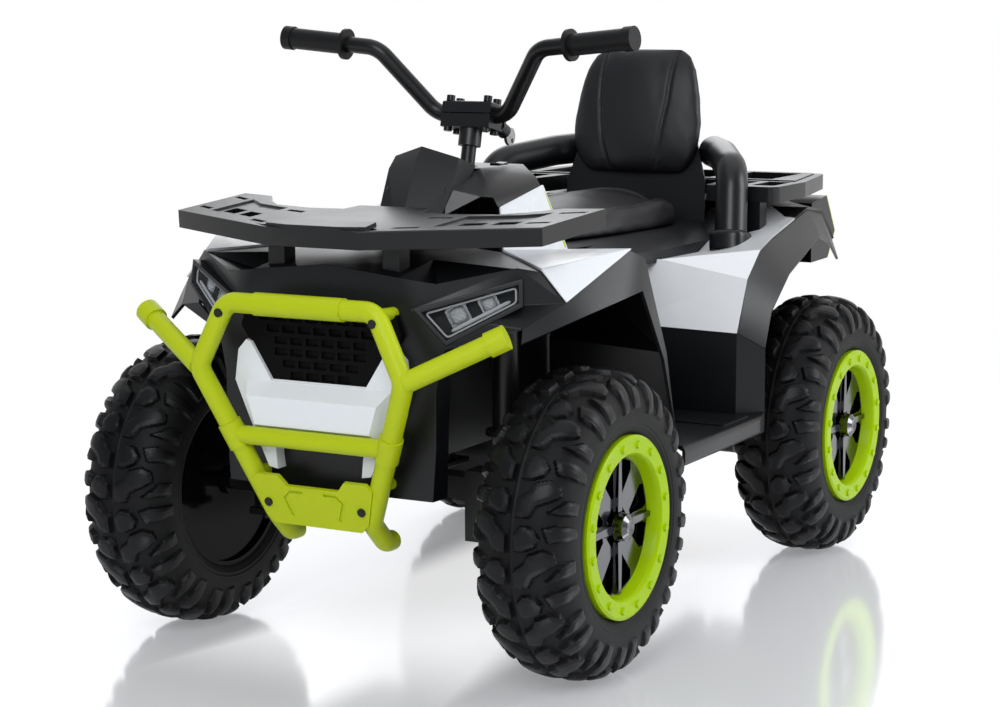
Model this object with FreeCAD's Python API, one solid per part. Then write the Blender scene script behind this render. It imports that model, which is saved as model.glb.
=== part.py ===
import FreeCAD, Part

import math
import os

# A child's battery quad bike, as an assembly of separate pieces, in millimetres.
# +Z is up, the front points along -Y, the rider's left is +X, and the origin is on the
# floor under the middle of the bike. Points on the front end are offsets from the middle
# of the front axle, and points on the rear end are offsets from the middle of the rear one.

V = FreeCAD.Vector
X_AXIS = V(1, 0, 0)
Y_AXIS = V(0, 1, 0)
Z_AXIS = V(0, 0, 1)
ORIGIN = V(0, 0, 0)

# Wheels and stance
tyre_diameter = 350.0
tyre_width = 122.0
tyre_wall = 5.0
lug_height = 8.0
lug_pitches = 14
rim_radius = 103.0
rim_depth = 100.0
rim_wall = 5.0
window_count = 8
hub_radius = 17.0
ring_inner_radius = 82.0
ring_bolts = 16
wheelbase = 690.0
track = 528.0

# Running gear
axle_radius = 6.0
running_clearance = 0.05
king_pin_x = 165.0
knuckle_arm = 60.0
rail_size = 24.0
tube_wall = 2.0
rail_x = 64.0
panel = 4.0
tub_half_width = 104.0
column_radius = 9.0
column_lean = 13.0
crank_radius = 39.0

# Handlebar and controls
bar_radius = 10.0
bar_bend = 32.0
grip_radius = 13.0
grip_length = 86.0
clamp_width = 68.0
clamp_depth = 34.0

# Guards, racks and seat
bull_tube_radius = 11.5
rack_thickness = 21.0
rack_post_size = 22.0
arm_tube_radius = 21.5
arm_bend = 40.0
pad_thickness = 34.0
seat_thickness = 54.0
floor_thickness = 24.0
white_skin = 3.0

# The bull bar reaches this far ahead of the front axle, and the tail this far behind the rear one
front_reach = 179.5
rear_reach = 205.0

front_y = front_reach - (front_reach + wheelbase + rear_reach) / 2
rear_y = front_y + wheelbase
middle_y = (front_y + rear_y) / 2
axle_z = tyre_diameter / 2
wheel_x = track / 2


def front(x, y, z):
    """A point given from the middle of the front axle."""
    return V(x, front_y + y, axle_z + z)


def rear(x, y, z):
    """A point given from the middle of the rear axle."""
    return V(x, rear_y + y, axle_z + z)


def middle(x, y, z):
    """A point given from the middle of the bike, at axle height."""
    return V(x, middle_y + y, axle_z + z)


def mirrored(shape):
    """The same piece on the other side of the bike."""
    return shape.mirror(ORIGIN, X_AXIS)


def both_sides(shape):
    return Part.makeCompound([shape, mirrored(shape)])


def block(low, high):
    """A box between two corners."""
    return Part.makeBox(high.x - low.x, high.y - low.y, high.z - low.z, low)


def rod(start, end, radius):
    """A round bar from one point to another."""
    along = end - start
    return Part.makeCylinder(radius, along.Length, start, along)


def soften(shape, radius, keep=lambda edge: True):
    """Rounds the chosen edges of a shape."""
    return shape.makeFillet(radius, [e for e in shape.Edges if keep(e)])


def polygon_face(points):
    return Part.Face(Part.makePolygon(points + [points[0]]))


def prism(points, along):
    return polygon_face(points).extrude(along)


def largest(shape):
    """The biggest solid of a shape, which leaves trimmings behind."""
    return max(shape.Solids, key=lambda s: s.Volume)


def main_pair(shape):
    """The two biggest solids, one on each side."""
    return Part.makeCompound(sorted(shape.Solids, key=lambda s: s.Volume)[-2:])


def triangles_of(facets):
    return [(f[0], f[i], f[i + 1]) for f in facets for i in range(1, len(f) - 1)]


def facing_out(points, triangles, inside):
    """Turns each triangle so that it faces away from a point inside the body."""
    turned = []
    for a, b, c in triangles:
        normal = (points[b] - points[a]).cross(points[c] - points[a])
        centre = (points[a] + points[b] + points[c]) * (1 / 3)
        turned.append((a, b, c) if normal.dot(centre - inside) > 0 else (a, c, b))
    return turned


def offset_points(points, triangles, distance):
    """Moves each corner so that all of its facets move out by the same distance."""
    normals = {name: [] for name in points}
    for a, b, c in triangles:
        normal = (points[b] - points[a]).cross(points[c] - points[a])
        normal.normalize()
        for name in (a, b, c):
            normals[name].append(normal)
    moved = {}
    for name, around in normals.items():
        if not around:
            continue
        rows = FreeCAD.Matrix()
        soft = 0.02 * len(around)
        rows.A11 = soft + sum(n.x * n.x for n in around)
        rows.A22 = soft + sum(n.y * n.y for n in around)
        rows.A33 = soft + sum(n.z * n.z for n in around)
        rows.A12 = rows.A21 = sum(n.x * n.y for n in around)
        rows.A13 = rows.A31 = sum(n.x * n.z for n in around)
        rows.A23 = rows.A32 = sum(n.y * n.z for n in around)
        pull = V(0, 0, 0)
        for n in around:
            pull = pull + n
        moved[name] = points[name] + rows.inverse().multVec(pull) * distance
    return moved


def sheet(low, high, triangles):
    """A solid between two offsets of the same triangles."""
    faces = [polygon_face([high[a], high[b], high[c]]) for a, b, c in triangles]
    faces += [polygon_face([low[a], low[c], low[b]]) for a, b, c in triangles]
    directed = {e for a, b, c in triangles for e in ((a, b), (b, c), (c, a))}
    for a, b in sorted(directed):
        if (b, a) in directed:
            continue
        first, last = (low[b], high[a]) if a < b else (low[a], high[b])
        faces.append(polygon_face([high[b], high[a], first]))
        faces.append(polygon_face([last, low[a], low[b]]))
    return closed(faces)


def other_side(name, points):
    """The name of a corner's mirror image. A corner on the middle plane is its own image."""
    return "r_" + name if points[name].x > 1e-6 else name


class Facets:
    """Flat facets of the left half of a body, from which sheets that share their edges are made."""

    def __init__(self, points, facets, inside):
        self.left = points
        self.inside = inside
        self.points = dict(points)
        for name, p in points.items():
            self.points[other_side(name, points)] = flipped(p) if p.x > 1e-6 else p
        self.triangles = self.oriented(facets, True)

    def oriented(self, facets, joined):
        """Triangles that face out, with their mirror images where the sheet spans the bike."""
        left = facing_out(self.left, triangles_of(facets), self.inside)
        if not joined:
            return left
        return left + [tuple(other_side(n, self.left) for n in (a, c, b)) for a, b, c in left]

    def sheet(self, facets, inner, outer, joined=True):
        """The sheet over some of the facets, between two distances from them."""
        low = offset_points(self.points, self.triangles, inner)
        high = offset_points(self.points, self.triangles, outer)
        solid = sheet(low, high, self.oriented(facets, joined))
        return solid if joined else both_sides(solid)


def closed(faces):
    """A solid from the faces that close it."""
    solid = Part.makeSolid(Part.makeShell(faces))
    if solid.Volume < 0:
        solid.reverse()
    return solid


def route(points, bend):
    """Straight runs joined by tangent arcs."""
    edges = []
    start = points[0]
    for i in range(1, len(points) - 1):
        before = (points[i - 1] - points[i]).normalize()
        after = (points[i + 1] - points[i]).normalize()
        half_turn = (math.pi - before.getAngle(after)) / 2
        shorter = min((points[i - 1] - points[i]).Length, (points[i + 1] - points[i]).Length)
        tangent = min(bend * math.tan(half_turn), 0.48 * shorter)
        radius = tangent / math.tan(half_turn)
        into = points[i] + before * tangent
        out = points[i] + after * tangent
        inward = (before + after).normalize()
        apex = points[i] + inward * (radius / math.cos(half_turn) - radius)
        edges.append(Part.LineSegment(start, into).toShape())
        edges.append(Part.Arc(into, apex, out).toShape())
        start = out
    edges.append(Part.LineSegment(start, points[-1]).toShape())
    return Part.Wire(edges)


def tube(points, radius, bend):
    """A round bar bent along a route."""
    path = route(points, bend)
    ring = Part.Wire(Part.Circle(points[0], points[1] - points[0], radius).toShape())
    return path.makePipeShell([ring], True, True)


def revolved(profile, axis=X_AXIS):
    return polygon_face(profile).revolve(ORIGIN, axis, 360)


# Wheel, built with its axle along X, its middle plane at the origin and its outside to +X
lug_top = tyre_diameter / 2
carcass_radius = lug_top - lug_height
half_tyre = tyre_width / 2


def tyre_section(shrink):
    """Half the tyre's outline from bead to crown, taken in by a wall."""
    bead_x = rim_depth / 2 - shrink
    bead = V(bead_x, 0, rim_radius)
    bulge = V(half_tyre - shrink, 0, (rim_radius + carcass_radius) / 2 - 5)
    shoulder = V(half_tyre - 11 - shrink, 0, carcass_radius - 13 - shrink)
    crown = V(0, 0, carcass_radius - shrink)
    return bead, bulge, shoulder, crown


def flipped(p):
    return V(-p.x, p.y, p.z)


def tyre_edges(shrink):
    bead, bulge, shoulder, crown = tyre_section(shrink)
    return [
        Part.Arc(bead, bulge, shoulder).toShape(),
        Part.Arc(shoulder, crown, flipped(shoulder)).toShape(),
        Part.Arc(flipped(shoulder), flipped(bulge), flipped(bead)).toShape(),
    ]


def tyre_ring(outer_shrink, inner_shrink):
    """A hoop between two offsets of the tyre's outline, open at the beads."""
    outside = tyre_edges(outer_shrink)
    inside = tyre_edges(inner_shrink)
    ends = [tyre_section(s)[0] for s in (outer_shrink, inner_shrink)]
    edges = outside + inside
    edges.append(Part.LineSegment(ends[0], ends[1]).toShape())
    edges.append(Part.LineSegment(flipped(ends[0]), flipped(ends[1])).toShape())
    section = Part.Face(Part.Wire(Part.__sortEdges__(edges)))
    return section.revolve(ORIGIN, X_AXIS, 360)


def lug_prism(outline):
    """A block over an outline of (share of a pitch, place across) points, standing outwards."""
    arc = 2 * math.pi * lug_top / lug_pitches
    base = 0.75 * lug_top
    points = [V(across, share * arc, base) for share, across in outline]
    return prism(points, V(0, 0, lug_top))


lug_outlines = (
    ((-0.44, 5), (-0.20, 7), (0.08, 43), (-0.08, 48)),
    ((0.14, 7), (0.36, 12), (0.42, 57), (0.26, 57)),
)


def make_tyre():
    lug_band = tyre_ring(-lug_height, 2.0)
    half_pitch = 180.0 / lug_pitches
    pattern = []
    for outline in lug_outlines:
        left = lug_prism(outline).common(lug_band)
        right = left.mirror(ORIGIN, X_AXIS)
        right.rotate(ORIGIN, X_AXIS, half_pitch)
        pattern += [left, right]
    lugs = []
    for i in range(lug_pitches):
        for shape in pattern:
            copy = shape.copy()
            copy.rotate(ORIGIN, X_AXIS, i * 360.0 / lug_pitches)
            lugs.append(copy)
    return tyre_ring(0.0, tyre_wall).multiFuse(lugs).removeSplitter()


spoke_face_x = 28.0
spoke_thickness = 12.0
back_plate_x = 44.0


def make_rim():
    """Barrel, hub, pierced spoke face and inner plate, with the cap over the axle end."""
    outer = rim_radius - running_clearance
    barrel_low, barrel_high = -rim_depth / 2, spoke_face_x + spoke_thickness
    barrel = Part.makeCylinder(outer, barrel_high - barrel_low, V(barrel_low, 0, 0), X_AXIS)
    barrel = barrel.cut(Part.makeCylinder(outer - rim_wall, tyre_width, V(-half_tyre, 0, 0), X_AXIS))
    disc = Part.makeCylinder(outer - 1, spoke_thickness, V(spoke_face_x, 0, 0), X_AXIS)
    plate = Part.makeCylinder(outer - 1, rim_wall, V(-back_plate_x, 0, 0), X_AXIS)
    low, high = hub_radius + 17, ring_inner_radius - 6
    corners = ((low, 11), (low, 21), (high - 8, 32), (high, 28), (high, 9), (high - 8, 6.5))
    for i in range(window_count):
        turn = (i // 2) * 720.0 / window_count
        side = 1 if i % 2 else -1
        angles = [(r, math.radians(turn + side * a)) for r, a in corners]
        window = [V(0, r * math.sin(a), r * math.cos(a)) for r, a in angles]
        disc = disc.cut(prism(window, V(tyre_width, 0, 0)))
    ribs = []
    for i in range(window_count // 2):
        profile = [V(0, -5, hub_radius), V(0, 5, hub_radius), V(0, 3, high), V(0, -3, high)]
        rib = prism(profile, V(6, 0, 0))
        rib.translate(V(barrel_high - 1, 0, 0))
        rib.rotate(ORIGIN, X_AXIS, i * 720.0 / window_count)
        ribs.append(rib)
    hub = Part.makeCylinder(hub_radius, barrel_high + rim_depth / 2, V(-rim_depth / 2, 0, 0), X_AXIS)
    rim = barrel.multiFuse([disc, plate, hub] + ribs)
    bore = Part.makeCylinder(axle_radius + running_clearance, tyre_width * 2, V(-tyre_width, 0, 0), X_AXIS)
    rim = rim.cut(bore)
    cap_profile = [V(0, 0, 0), V(16, 0, 0), V(18, 0, 9), V(14, 0, hub_radius - 2), V(0, 0, hub_radius)]
    cap = revolved(cap_profile)
    hollow = Part.makeCylinder(nut_radius + 1.5, nut_length + 1.5, ORIGIN, X_AXIS)
    cap = cap.cut(hollow)
    cap.translate(V(barrel_high, 0, 0))
    rim = rim.cut(Part.makeCylinder(hub_radius, 20, V(barrel_high, 0, 0), X_AXIS))
    return Part.makeCompound([largest(rim), cap])


nut_radius = 10.0
nut_length = 8.0


def make_ring():
    """Bead ring screwed over the rim's edge, with a raised bolt head at each screw."""
    seat_x = spoke_face_x + spoke_thickness
    face_x = half_tyre - 3
    outer = rim_radius - 0.3
    section = [
        V(seat_x, 0, ring_inner_radius - 5), V(seat_x, 0, outer - 1), V(rim_depth / 2, 0, outer),
        V(face_x - 2, 0, outer), V(face_x, 0, outer - 3), V(face_x - 1, 0, ring_inner_radius + 1),
        V(face_x - 3, 0, ring_inner_radius - 1),
    ]
    ring = revolved(section)
    heads = []
    for i in range(ring_bolts):
        head = Part.makeCylinder(4.2, 4.0, V(face_x - 2, 0, (outer + ring_inner_radius) / 2 - 0.5), X_AXIS)
        head.rotate(ORIGIN, X_AXIS, (i + 0.5) * 360.0 / ring_bolts)
        heads.append(head)
    return ring.multiFuse(heads)


def place_wheel(shape, right, y):
    placed = shape.copy()
    if right:
        placed.rotate(ORIGIN, Z_AXIS, 180)
    placed.translate(V(-wheel_x if right else wheel_x, y, axle_z))
    return placed


wheel_places = {
    "front_left": (False, front_y), "front_right": (True, front_y),
    "rear_left": (False, rear_y), "rear_right": (True, rear_y),
}


def make_wheels():
    parts = {"tyre": make_tyre(), "rim": make_rim(), "bead_ring": make_ring()}
    return {
        f"{part}_{place}": place_wheel(shape, right, y)
        for part, shape in parts.items()
        for place, (right, y) in wheel_places.items()
    }


# Running gear
ear_low = -26.0
ear_high = 40.0
ear_thickness = 8.0
sleeve_radius = 15.0
beam_end = king_pin_x - sleeve_radius - 4
tie_rod_z = 15.0
arm_plate_z = 6.0
arm_thickness = 8.0
tie_thickness = 6.0
pin_radius = 4.0
spacer_radius = 10.0
hub_inner_x = wheel_x - rim_depth / 2
axle_end_x = wheel_x + spoke_face_x + spoke_thickness + nut_length
rail_top = -13.0
rail_front = 190.0
beam_low = 14.0
beam_top = 40.0
tub_nose_floor = 65.0
member_top = 15.0
tub_floor = member_top


def make_frame():
    """A front beam with king pins, hung from the tub, and rails with cross members and rear axle plates."""
    solids = []
    for side in (-1, 1):
        x = side * rail_x
        rail_start = front(x - rail_size / 2, rail_front, rail_top - rail_size)
        solids.append(block(rail_start, rear(x + rail_size / 2, 60, rail_top)))
        solids.append(block(front(x - 12, -12, beam_top), front(x + 12, 12, tub_nose_floor)))
        plate = block(rear(x - 4, -24, rail_top - 2), rear(x + 4, 24, member_top))
        bore = rod(rear(x - 9, 0, 0), rear(x + 9, 0, 0), axle_radius + running_clearance)
        solids.append(plate.cut(bore))
        inner, outer = sorted((side * (beam_end - 26), side * beam_end))
        ear_foot, ear_head = ear_low - ear_thickness, ear_high + ear_thickness
        solids.append(block(front(inner, -16, ear_foot), front(outer, 16, ear_head)))
        near, far = sorted((side * (beam_end - 10), side * (king_pin_x + sleeve_radius)))
        for z in (ear_low - ear_thickness, ear_high):
            solids.append(block(front(near, -16, z), front(far, 16, z + ear_thickness)))
        pin = side * king_pin_x
        solids.append(rod(front(pin, 0, ear_foot - 6), front(pin, 0, ear_head), axle_radius))
    solids.append(block(front(-beam_end + 5, -15, beam_low), front(beam_end - 5, 15, beam_top)))
    hollows = []
    bore_half = rail_size / 2 - tube_wall
    for x in (-rail_x, rail_x):
        low = rail_top - rail_size + tube_wall
        bore_start = front(x - bore_half, rail_front + 6, low)
        hollows.append(block(bore_start, rear(x + bore_half, 61, rail_top - tube_wall)))
    for x_low, x_high in ((-48, 48), (80, 112), (-112, -80)):
        hollows.append(block(front(x_low, -12, beam_low - 1), front(x_high, 12, beam_top - 3)))
    for y in (-130.0, 240.0):
        half = tub_half_width
        solids.append(block(middle(-half, y - 15, rail_top - 2), middle(half, y + 15, member_top)))
        bore_start = middle(-half - 1, y - 12, rail_top + 1)
        hollows.append(block(bore_start, middle(half + 1, y + 12, member_top - 3)))
    return solids[0].multiFuse(solids[1:]).cut(Part.makeCompound(hollows)).removeSplitter()


def make_knuckle(side):
    """Sleeve on the king pin, stub axle with its nut, and the steering arm with its pin."""
    pivot = front(side * king_pin_x, 0, 0)
    gap = 1.0
    sleeve = rod(pivot + V(0, 0, ear_low + gap), pivot + V(0, 0, ear_high - gap), sleeve_radius)
    collar = rod(pivot, V(side * (hub_inner_x - 0.5), front_y, axle_z), spacer_radius)
    stub = rod(pivot, V(side * axle_end_x, front_y, axle_z), axle_radius)
    nut_start = axle_end_x - nut_length + 0.5
    nut_end = side * (nut_start + nut_length - 1)
    nut = rod(front(side * nut_start, 0, 0), front(nut_end, 0, 0), nut_radius)
    arm = block(pivot + V(-8, 0, arm_plate_z), pivot + V(8, knuckle_arm + 8, arm_plate_z + arm_thickness))
    top = tie_rod_z + tie_thickness + 5
    pin = rod(pivot + V(0, knuckle_arm, arm_plate_z), pivot + V(0, knuckle_arm, top), pin_radius)
    solid = sleeve.multiFuse([collar, stub, nut, arm, pin])
    hole = rod(pivot + V(0, 0, 2 * ear_low), pivot + V(0, 0, 2 * ear_high), axle_radius + running_clearance)
    return solid.cut(hole).removeSplitter()


crank_slot_y = 160.0


def make_tie_rod():
    """Flat bar between the steering arms, with slots that let the arms swing, and a middle tab."""
    low, high = tie_rod_z, tie_rod_z + tie_thickness
    half = king_pin_x + 12
    bar = block(front(-half, knuckle_arm - 13, low), front(half, knuckle_arm + 10, high))
    tab = block(front(-16, knuckle_arm, low), front(16, crank_slot_y + 14, high))
    bar = bar.fuse(tab)
    play = pin_radius + 0.9
    for x in (-king_pin_x, king_pin_x):
        slot_end = front(x + play, knuckle_arm + play, high + 1)
        bar = bar.cut(block(front(x - play, knuckle_arm - 9, low - 1), slot_end))
    wide = pin_radius + 2.6
    slot = block(front(-wide, crank_slot_y - 12, low - 1), front(wide, crank_slot_y + 9, high + 1))
    return bar.cut(slot)


def make_rear_axle():
    """Fixed axle with its spacers and end nuts."""
    span = V(axle_end_x, rear_y, axle_z)
    axle = rod(V(-span.x, rear_y, axle_z), span, axle_radius)
    pieces = []
    for side in (-1, 1):
        start = side * (gearbox_outer + 0.5)
        pieces.append(rod(rear(start, 0, 0), rear(side * (hub_inner_x - 0.5), 0, 0), spacer_radius))
        nut_start = side * (axle_end_x - nut_length + 0.5)
        nut_end = nut_start + side * (nut_length - 1)
        pieces.append(rod(rear(nut_start, 0, 0), rear(nut_end, 0, 0), nut_radius))
    return axle.multiFuse(pieces).removeSplitter()


gearbox_outer = 182.0


def make_drive_units():
    """A gear case on the axle beside each rear wheel, with its motor."""
    low, high = rear(tub_half_width, -62, -42), rear(gearbox_outer, 44, 68)
    case = soften(block(low, high), 8, lambda e: abs(e.tangentAt(e.FirstParameter).x) > 0.9)
    bore = rod(rear(0, 0, 0), rear(2 * gearbox_outer, 0, 0), axle_radius + running_clearance)
    case = case.cut(bore)
    motor = rod(rear(gearbox_outer - 50, -62, 42), rear(gearbox_outer - 50, -124, 42), 21)
    return Part.makeCompound([case, motor, mirrored(case), mirrored(motor)])


strut_radius = 15.0


def make_strut_covers(fender_sheet):
    """Tubes over the front struts, from the upper king pin ears to the fenders."""
    foot = front(king_pin_x, 0, ear_high + ear_thickness)
    cover = rod(foot, foot + V(0, 0, 400), strut_radius)
    cover = cover.fuse(rod(foot + V(0, 0, 42), foot + V(0, 0, 49), strut_radius + 8))
    cover = cover.cut(rod(foot, foot + V(0, 0, 401), strut_radius - panel))
    lowest = min(cover.cut(fender_sheet).Solids, key=lambda s: s.CenterOfMass.z)
    return both_sides(lowest)


# Facets of the body, left half
front_points = {
    "top_c": front(0, -113, 287), "top_i": front(95, -113, 277), "ridge_in": front(137, -102, 271),
    "ridge_out": front(210, -52, 287), "ridge_end": front(226, -27, 281), "lamp_rear": front(255, -25, 248),
    "band_a": front(228, -74, 224), "lamp_low": front(150, -107, 200), "lamp_in": front(112, -118, 242),
    "mid_c": front(0, -118, 242), "side_mid": front(140, -110, 155), "mid_low": front(0, -118, 155),
    "side_low": front(140, -111, 90), "low_c": front(0, -118, 90), "side_bot": front(136, -112, 31),
    "bot_c": front(0, -114, 31), "back_top": front(142, -80, 200), "back_bot": front(138, -84, 31),
    "hood_c": front(0, 34, 298), "hood_s": front(100, 34, 296), "base_f": front(128, 60, 289),
    "base_r": front(112, 248, 272), "peak_f": front(280, 82, 296), "peak_r": front(287, 106, 286),
    "tank_f": front(76, 145, 331), "tank_r": front(84, 236, 351), "band_lo_a": front(234, -88, 210),
    "band_lo_b": front(268, -21, 231), "band_lo_c": front(284, 44, 243), "band_lo_d": front(293, 88, 251),
    "white_in": front(110, -55, 264), "white_up": front(96, -40, 289),
    "drop_mid": front(284, 171, 169), "drop_low": front(273, 217, 78), "edge_mid": front(288, 156, 163),
    "edge_low": front(280, 203, 80), "wall_mid": front(108, 217, 170), "wall_low": front(108, 217, 54),
    "foot_low": front(273, 217, 54), "foot_edge": front(280, 205, 54),
}
nose_facets = [
    ("top_c", "top_i", "lamp_in", "mid_c"), ("top_i", "ridge_in", "lamp_in"),
    ("mid_c", "lamp_in", "side_mid", "mid_low"), ("lamp_in", "lamp_low", "side_mid"),
    ("mid_low", "side_mid", "side_low", "low_c"), ("low_c", "side_low", "side_bot", "bot_c"),
    ("side_mid", "lamp_low", "back_top"), ("side_mid", "back_top", "back_bot", "side_low"),
    ("side_low", "back_bot", "side_bot"),
    ("lamp_in", "ridge_in", "ridge_out", "lamp_rear", "band_a", "lamp_low"),
    ("ridge_in", "white_in", "ridge_end", "ridge_out"), ("ridge_out", "ridge_end", "lamp_rear"),
]
hood_facets = [
    ("top_c", "top_i", "white_up", "hood_s", "hood_c"), ("top_i", "ridge_in", "white_in"),
    ("top_i", "white_in", "white_up"), ("white_in", "ridge_end", "white_up"),
    ("white_up", "ridge_end", "base_f", "hood_s"),
]
white_front_facets = [
    ("ridge_end", "lamp_rear", "peak_f"), ("ridge_end", "peak_f", "base_f"), ("base_f", "peak_f", "base_r"),
    ("base_f", "base_r", "tank_r", "tank_f"),
]
band_facets = [
    ("band_a", "lamp_rear", "band_lo_b", "band_lo_a"), ("lamp_rear", "peak_f", "band_lo_c", "band_lo_b"),
    ("peak_f", "peak_r", "band_lo_d", "band_lo_c"), ("peak_r", "drop_mid", "edge_mid", "band_lo_d"),
    ("drop_mid", "drop_low", "edge_low", "edge_mid"), ("drop_low", "foot_low", "foot_edge", "edge_low"),
    ("base_r", "peak_f", "peak_r"), ("base_r", "peak_r", "drop_mid", "wall_mid"),
    ("wall_mid", "drop_mid", "drop_low", "foot_low", "wall_low"),
]
front_inside = front(60, 40, 120)
console_points = {
    "wedge_top": front(40, 83, 358), "wedge_tip": front(45, 72, 327), "wedge_low": front(60, 132, 345),
    "wedge_end": front(30, 160, 370), "shoulder": front(72, 139, 344), "dash_f": front(34, 172, 375),
    "dash_r": front(46, 260, 375), "dash_cf": front(0, 172, 375), "dash_cr": front(0, 260, 375),
    "dash_side": front(76, 237, 362), "knee": front(56, 284, 268), "knee_c": front(0, 287, 268),
}
console_facets = [
    ("dash_cf", "dash_f", "dash_r", "dash_cr"), ("dash_f", "shoulder", "dash_side", "dash_r"),
    ("wedge_top", "wedge_tip", "wedge_low"), ("wedge_top", "wedge_low", "wedge_end"),
    ("wedge_end", "wedge_low", "shoulder", "dash_f"), ("shoulder", "tank_f", "tank_r", "dash_side"),
    ("dash_side", "tank_r", "base_r", "knee", "dash_r"), ("dash_cr", "dash_r", "knee", "knee_c"),
]
front_points.update(console_points)

cowl_points = {
    "ridge_top": front(0, 96, 405), "crease_c": front(0, 84, 391), "ridge_bot": front(0, 38, 299),
    "top_s": front(43.5, 107.5, 392), "crease_s": front(47, 97, 377), "bot_s": front(41, 50, 297),
    "rear_c": front(0, 166, 379), "rear_s": front(34, 164, 379), "low_s": front(40, 118, 345),
}
cowl_facets = [
    ("ridge_bot", "crease_c", "crease_s", "bot_s"), ("crease_c", "ridge_top", "top_s", "crease_s"),
    ("ridge_top", "rear_c", "rear_s", "top_s"), ("bot_s", "crease_s", "low_s"),
    ("crease_s", "top_s", "rear_s", "low_s"),
]

rear_points = {
    "wall_in": rear(100, -265, 160), "t1": rear(260, -260, 156), "out": rear(288, -233, 134),
    "foot_in": rear(100, -268, 54), "foot_corner": rear(263, -268, 54), "foot_out": rear(290, -238, 54),
    "sa": rear(100, -245, 241), "sb": rear(100, -131, 236), "sc": rear(100, 15, 286),
    "sd": rear(100, 125, 288), "wa": rear(148, -245, 241), "wb": rear(148, -131, 239),
    "wc": rear(148, 15, 290), "wd": rear(148, 125, 292), "t2": rear(260, -230, 221),
    "t3": rear(260, -190, 253), "t4": rear(255, -137, 265), "t5": rear(245, 10, 291),
    "t6": rear(245, 63, 283), "t7": rear(240, 120, 240), "i1": rear(288, -213, 178),
    "i2": rear(277, -126, 218), "i3": rear(262, 18, 254), "i4": rear(258, 68, 240), "i5": rear(250, 120, 212),
}
rear_white_facets = [
    ("wall_in", "t1", "t2", "wa", "sa"), ("wa", "t2", "t3", "wb"), ("wb", "t3", "t4"),
    ("wb", "t4", "t5", "wc"), ("wc", "t5", "t6", "wd"), ("wd", "t6", "t7"),
]
rear_black_facets = [
    ("foot_in", "foot_corner", "t1", "wall_in"), ("foot_corner", "foot_out", "out", "t1"),
    ("sa", "wa", "wb", "sb"), ("sb", "wb", "wc", "sc"), ("sc", "wc", "wd", "sd"),
]
trim_facets = [
    ("t1", "out", "i1", "t2"), ("t2", "i1", "i2", "t3"), ("t3", "i2", "t4"), ("t4", "i2", "i3", "t5"),
    ("t5", "i3", "i4", "t6"), ("t6", "i4", "i5", "t7"),
]
rear_inside = rear(60, -60, 60)


# Lower body
tub_wall = panel
board_top = 54.0
board_low = board_top - floor_thickness
board_half_width = 300.0
mat_rise = 1.5
tub_rim = 255.0


def make_tub():
    """The moulded tub over the frame, open on top, with a raised front end and footboards."""
    half = tub_half_width
    step = 196
    rear_box = block(front(-half, step, tub_floor), rear(half, 110, tub_rim))
    low = tub_nose_floor
    side_view = [(-116, low), (-116, 242), (-111, 275), (30, 293), (step + 8, 293), (step + 8, low)]
    front_box = prism([front(-half + 4, y, z) for y, z in side_view], V(2 * half - 8, 0, 0))
    inner = half - tub_wall
    rear_start = front(-inner, step + tub_wall, tub_floor + tub_wall)
    hollow_rear = block(rear_start, rear(inner, 110 - tub_wall, tub_rim + 200))
    hollow_front = block(front(-inner + 4, -104, low + tub_wall), front(inner - 4, step + 12, tub_rim + 200))
    tub = rear_box.fuse(front_box).cut(hollow_rear.fuse(hollow_front))
    boss = rod(column_point(67), column_point(100), column_radius + 8)
    tub = tub.fuse(boss)
    tub = tub.cut(rod(column_point(20), column_point(140), column_radius + running_clearance))
    board = [
        front(half - 2, 217, board_low), front(273, 217, board_low), front(board_half_width, 190, board_low),
        rear(board_half_width, -277, board_low), rear(290, -238, board_low), rear(half - 2, -238, board_low),
    ]
    plate = prism(board, V(0, 0, floor_thickness))
    edge_x = board_half_width - 1
    plate = soften(plate, 8, lambda e: min(v.X for v in e.Vertexes) > edge_x and e.BoundBox.ZLength < 1)
    inside_x = board_half_width - 8
    under = [
        front(half - 2, 223, board_low), front(267, 223, board_low), front(inside_x, 196, board_low),
        rear(inside_x, -281, board_low), rear(284, -246, board_low), rear(half - 2, -246, board_low),
    ]
    plate = plate.cut(prism(under, V(0, 0, floor_thickness - 6)))
    plate = plate.fuse(block(middle(118, -8, board_top), middle(284, 68, board_top + mat_rise)))
    return tub.multiFuse([plate, mirrored(plate)]).removeSplitter()


# Steering column, leaning back
lean = math.radians(column_lean)
column_along = V(0, math.sin(lean), math.cos(lean))
column_foot = 38.0
column_base = front(0, 124, column_foot)
clamp_z = 436.0


def column_point(z):
    """The point of the column's axis at a height over the axle."""
    return column_base + column_along * ((z - column_foot) / math.cos(lean))


clamp_centre = column_point(clamp_z)


def leaned(shape):
    """Turns a shape drawn upright round the clamp so that it leans with the column."""
    turned = shape.copy()
    turned.rotate(clamp_centre, X_AXIS, -column_lean)
    return turned


def make_column():
    """Column with the crank and its pin at the lower end."""
    top = clamp_centre - column_along * (bar_radius + 3)
    column = rod(column_base, top, column_radius)
    aft = V(0, math.cos(lean), -math.sin(lean))
    arm_end = column_base + aft * crank_radius
    reach = crank_radius + 7
    arm = prism(
        [column_base + V(x, 0, 0) + aft * f for x, f in ((-9, -9), (9, -9), (7, reach), (-7, reach))],
        column_along * 8)
    pin = rod(arm_end + column_along * 4, arm_end - column_along * 17, pin_radius)
    return column.multiFuse([arm, pin]).removeSplitter()


grip_tip = V(239, -45, 94)
bar_corner = V(112, -37, 82)
bar_root = V(48, 0, 0)


def bar_points():
    left = [clamp_centre + p for p in (bar_root, bar_corner, grip_tip)]
    return [flipped(p) for p in reversed(left)] + left


def make_handlebar():
    return tube(bar_points(), bar_radius, bar_bend)


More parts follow.
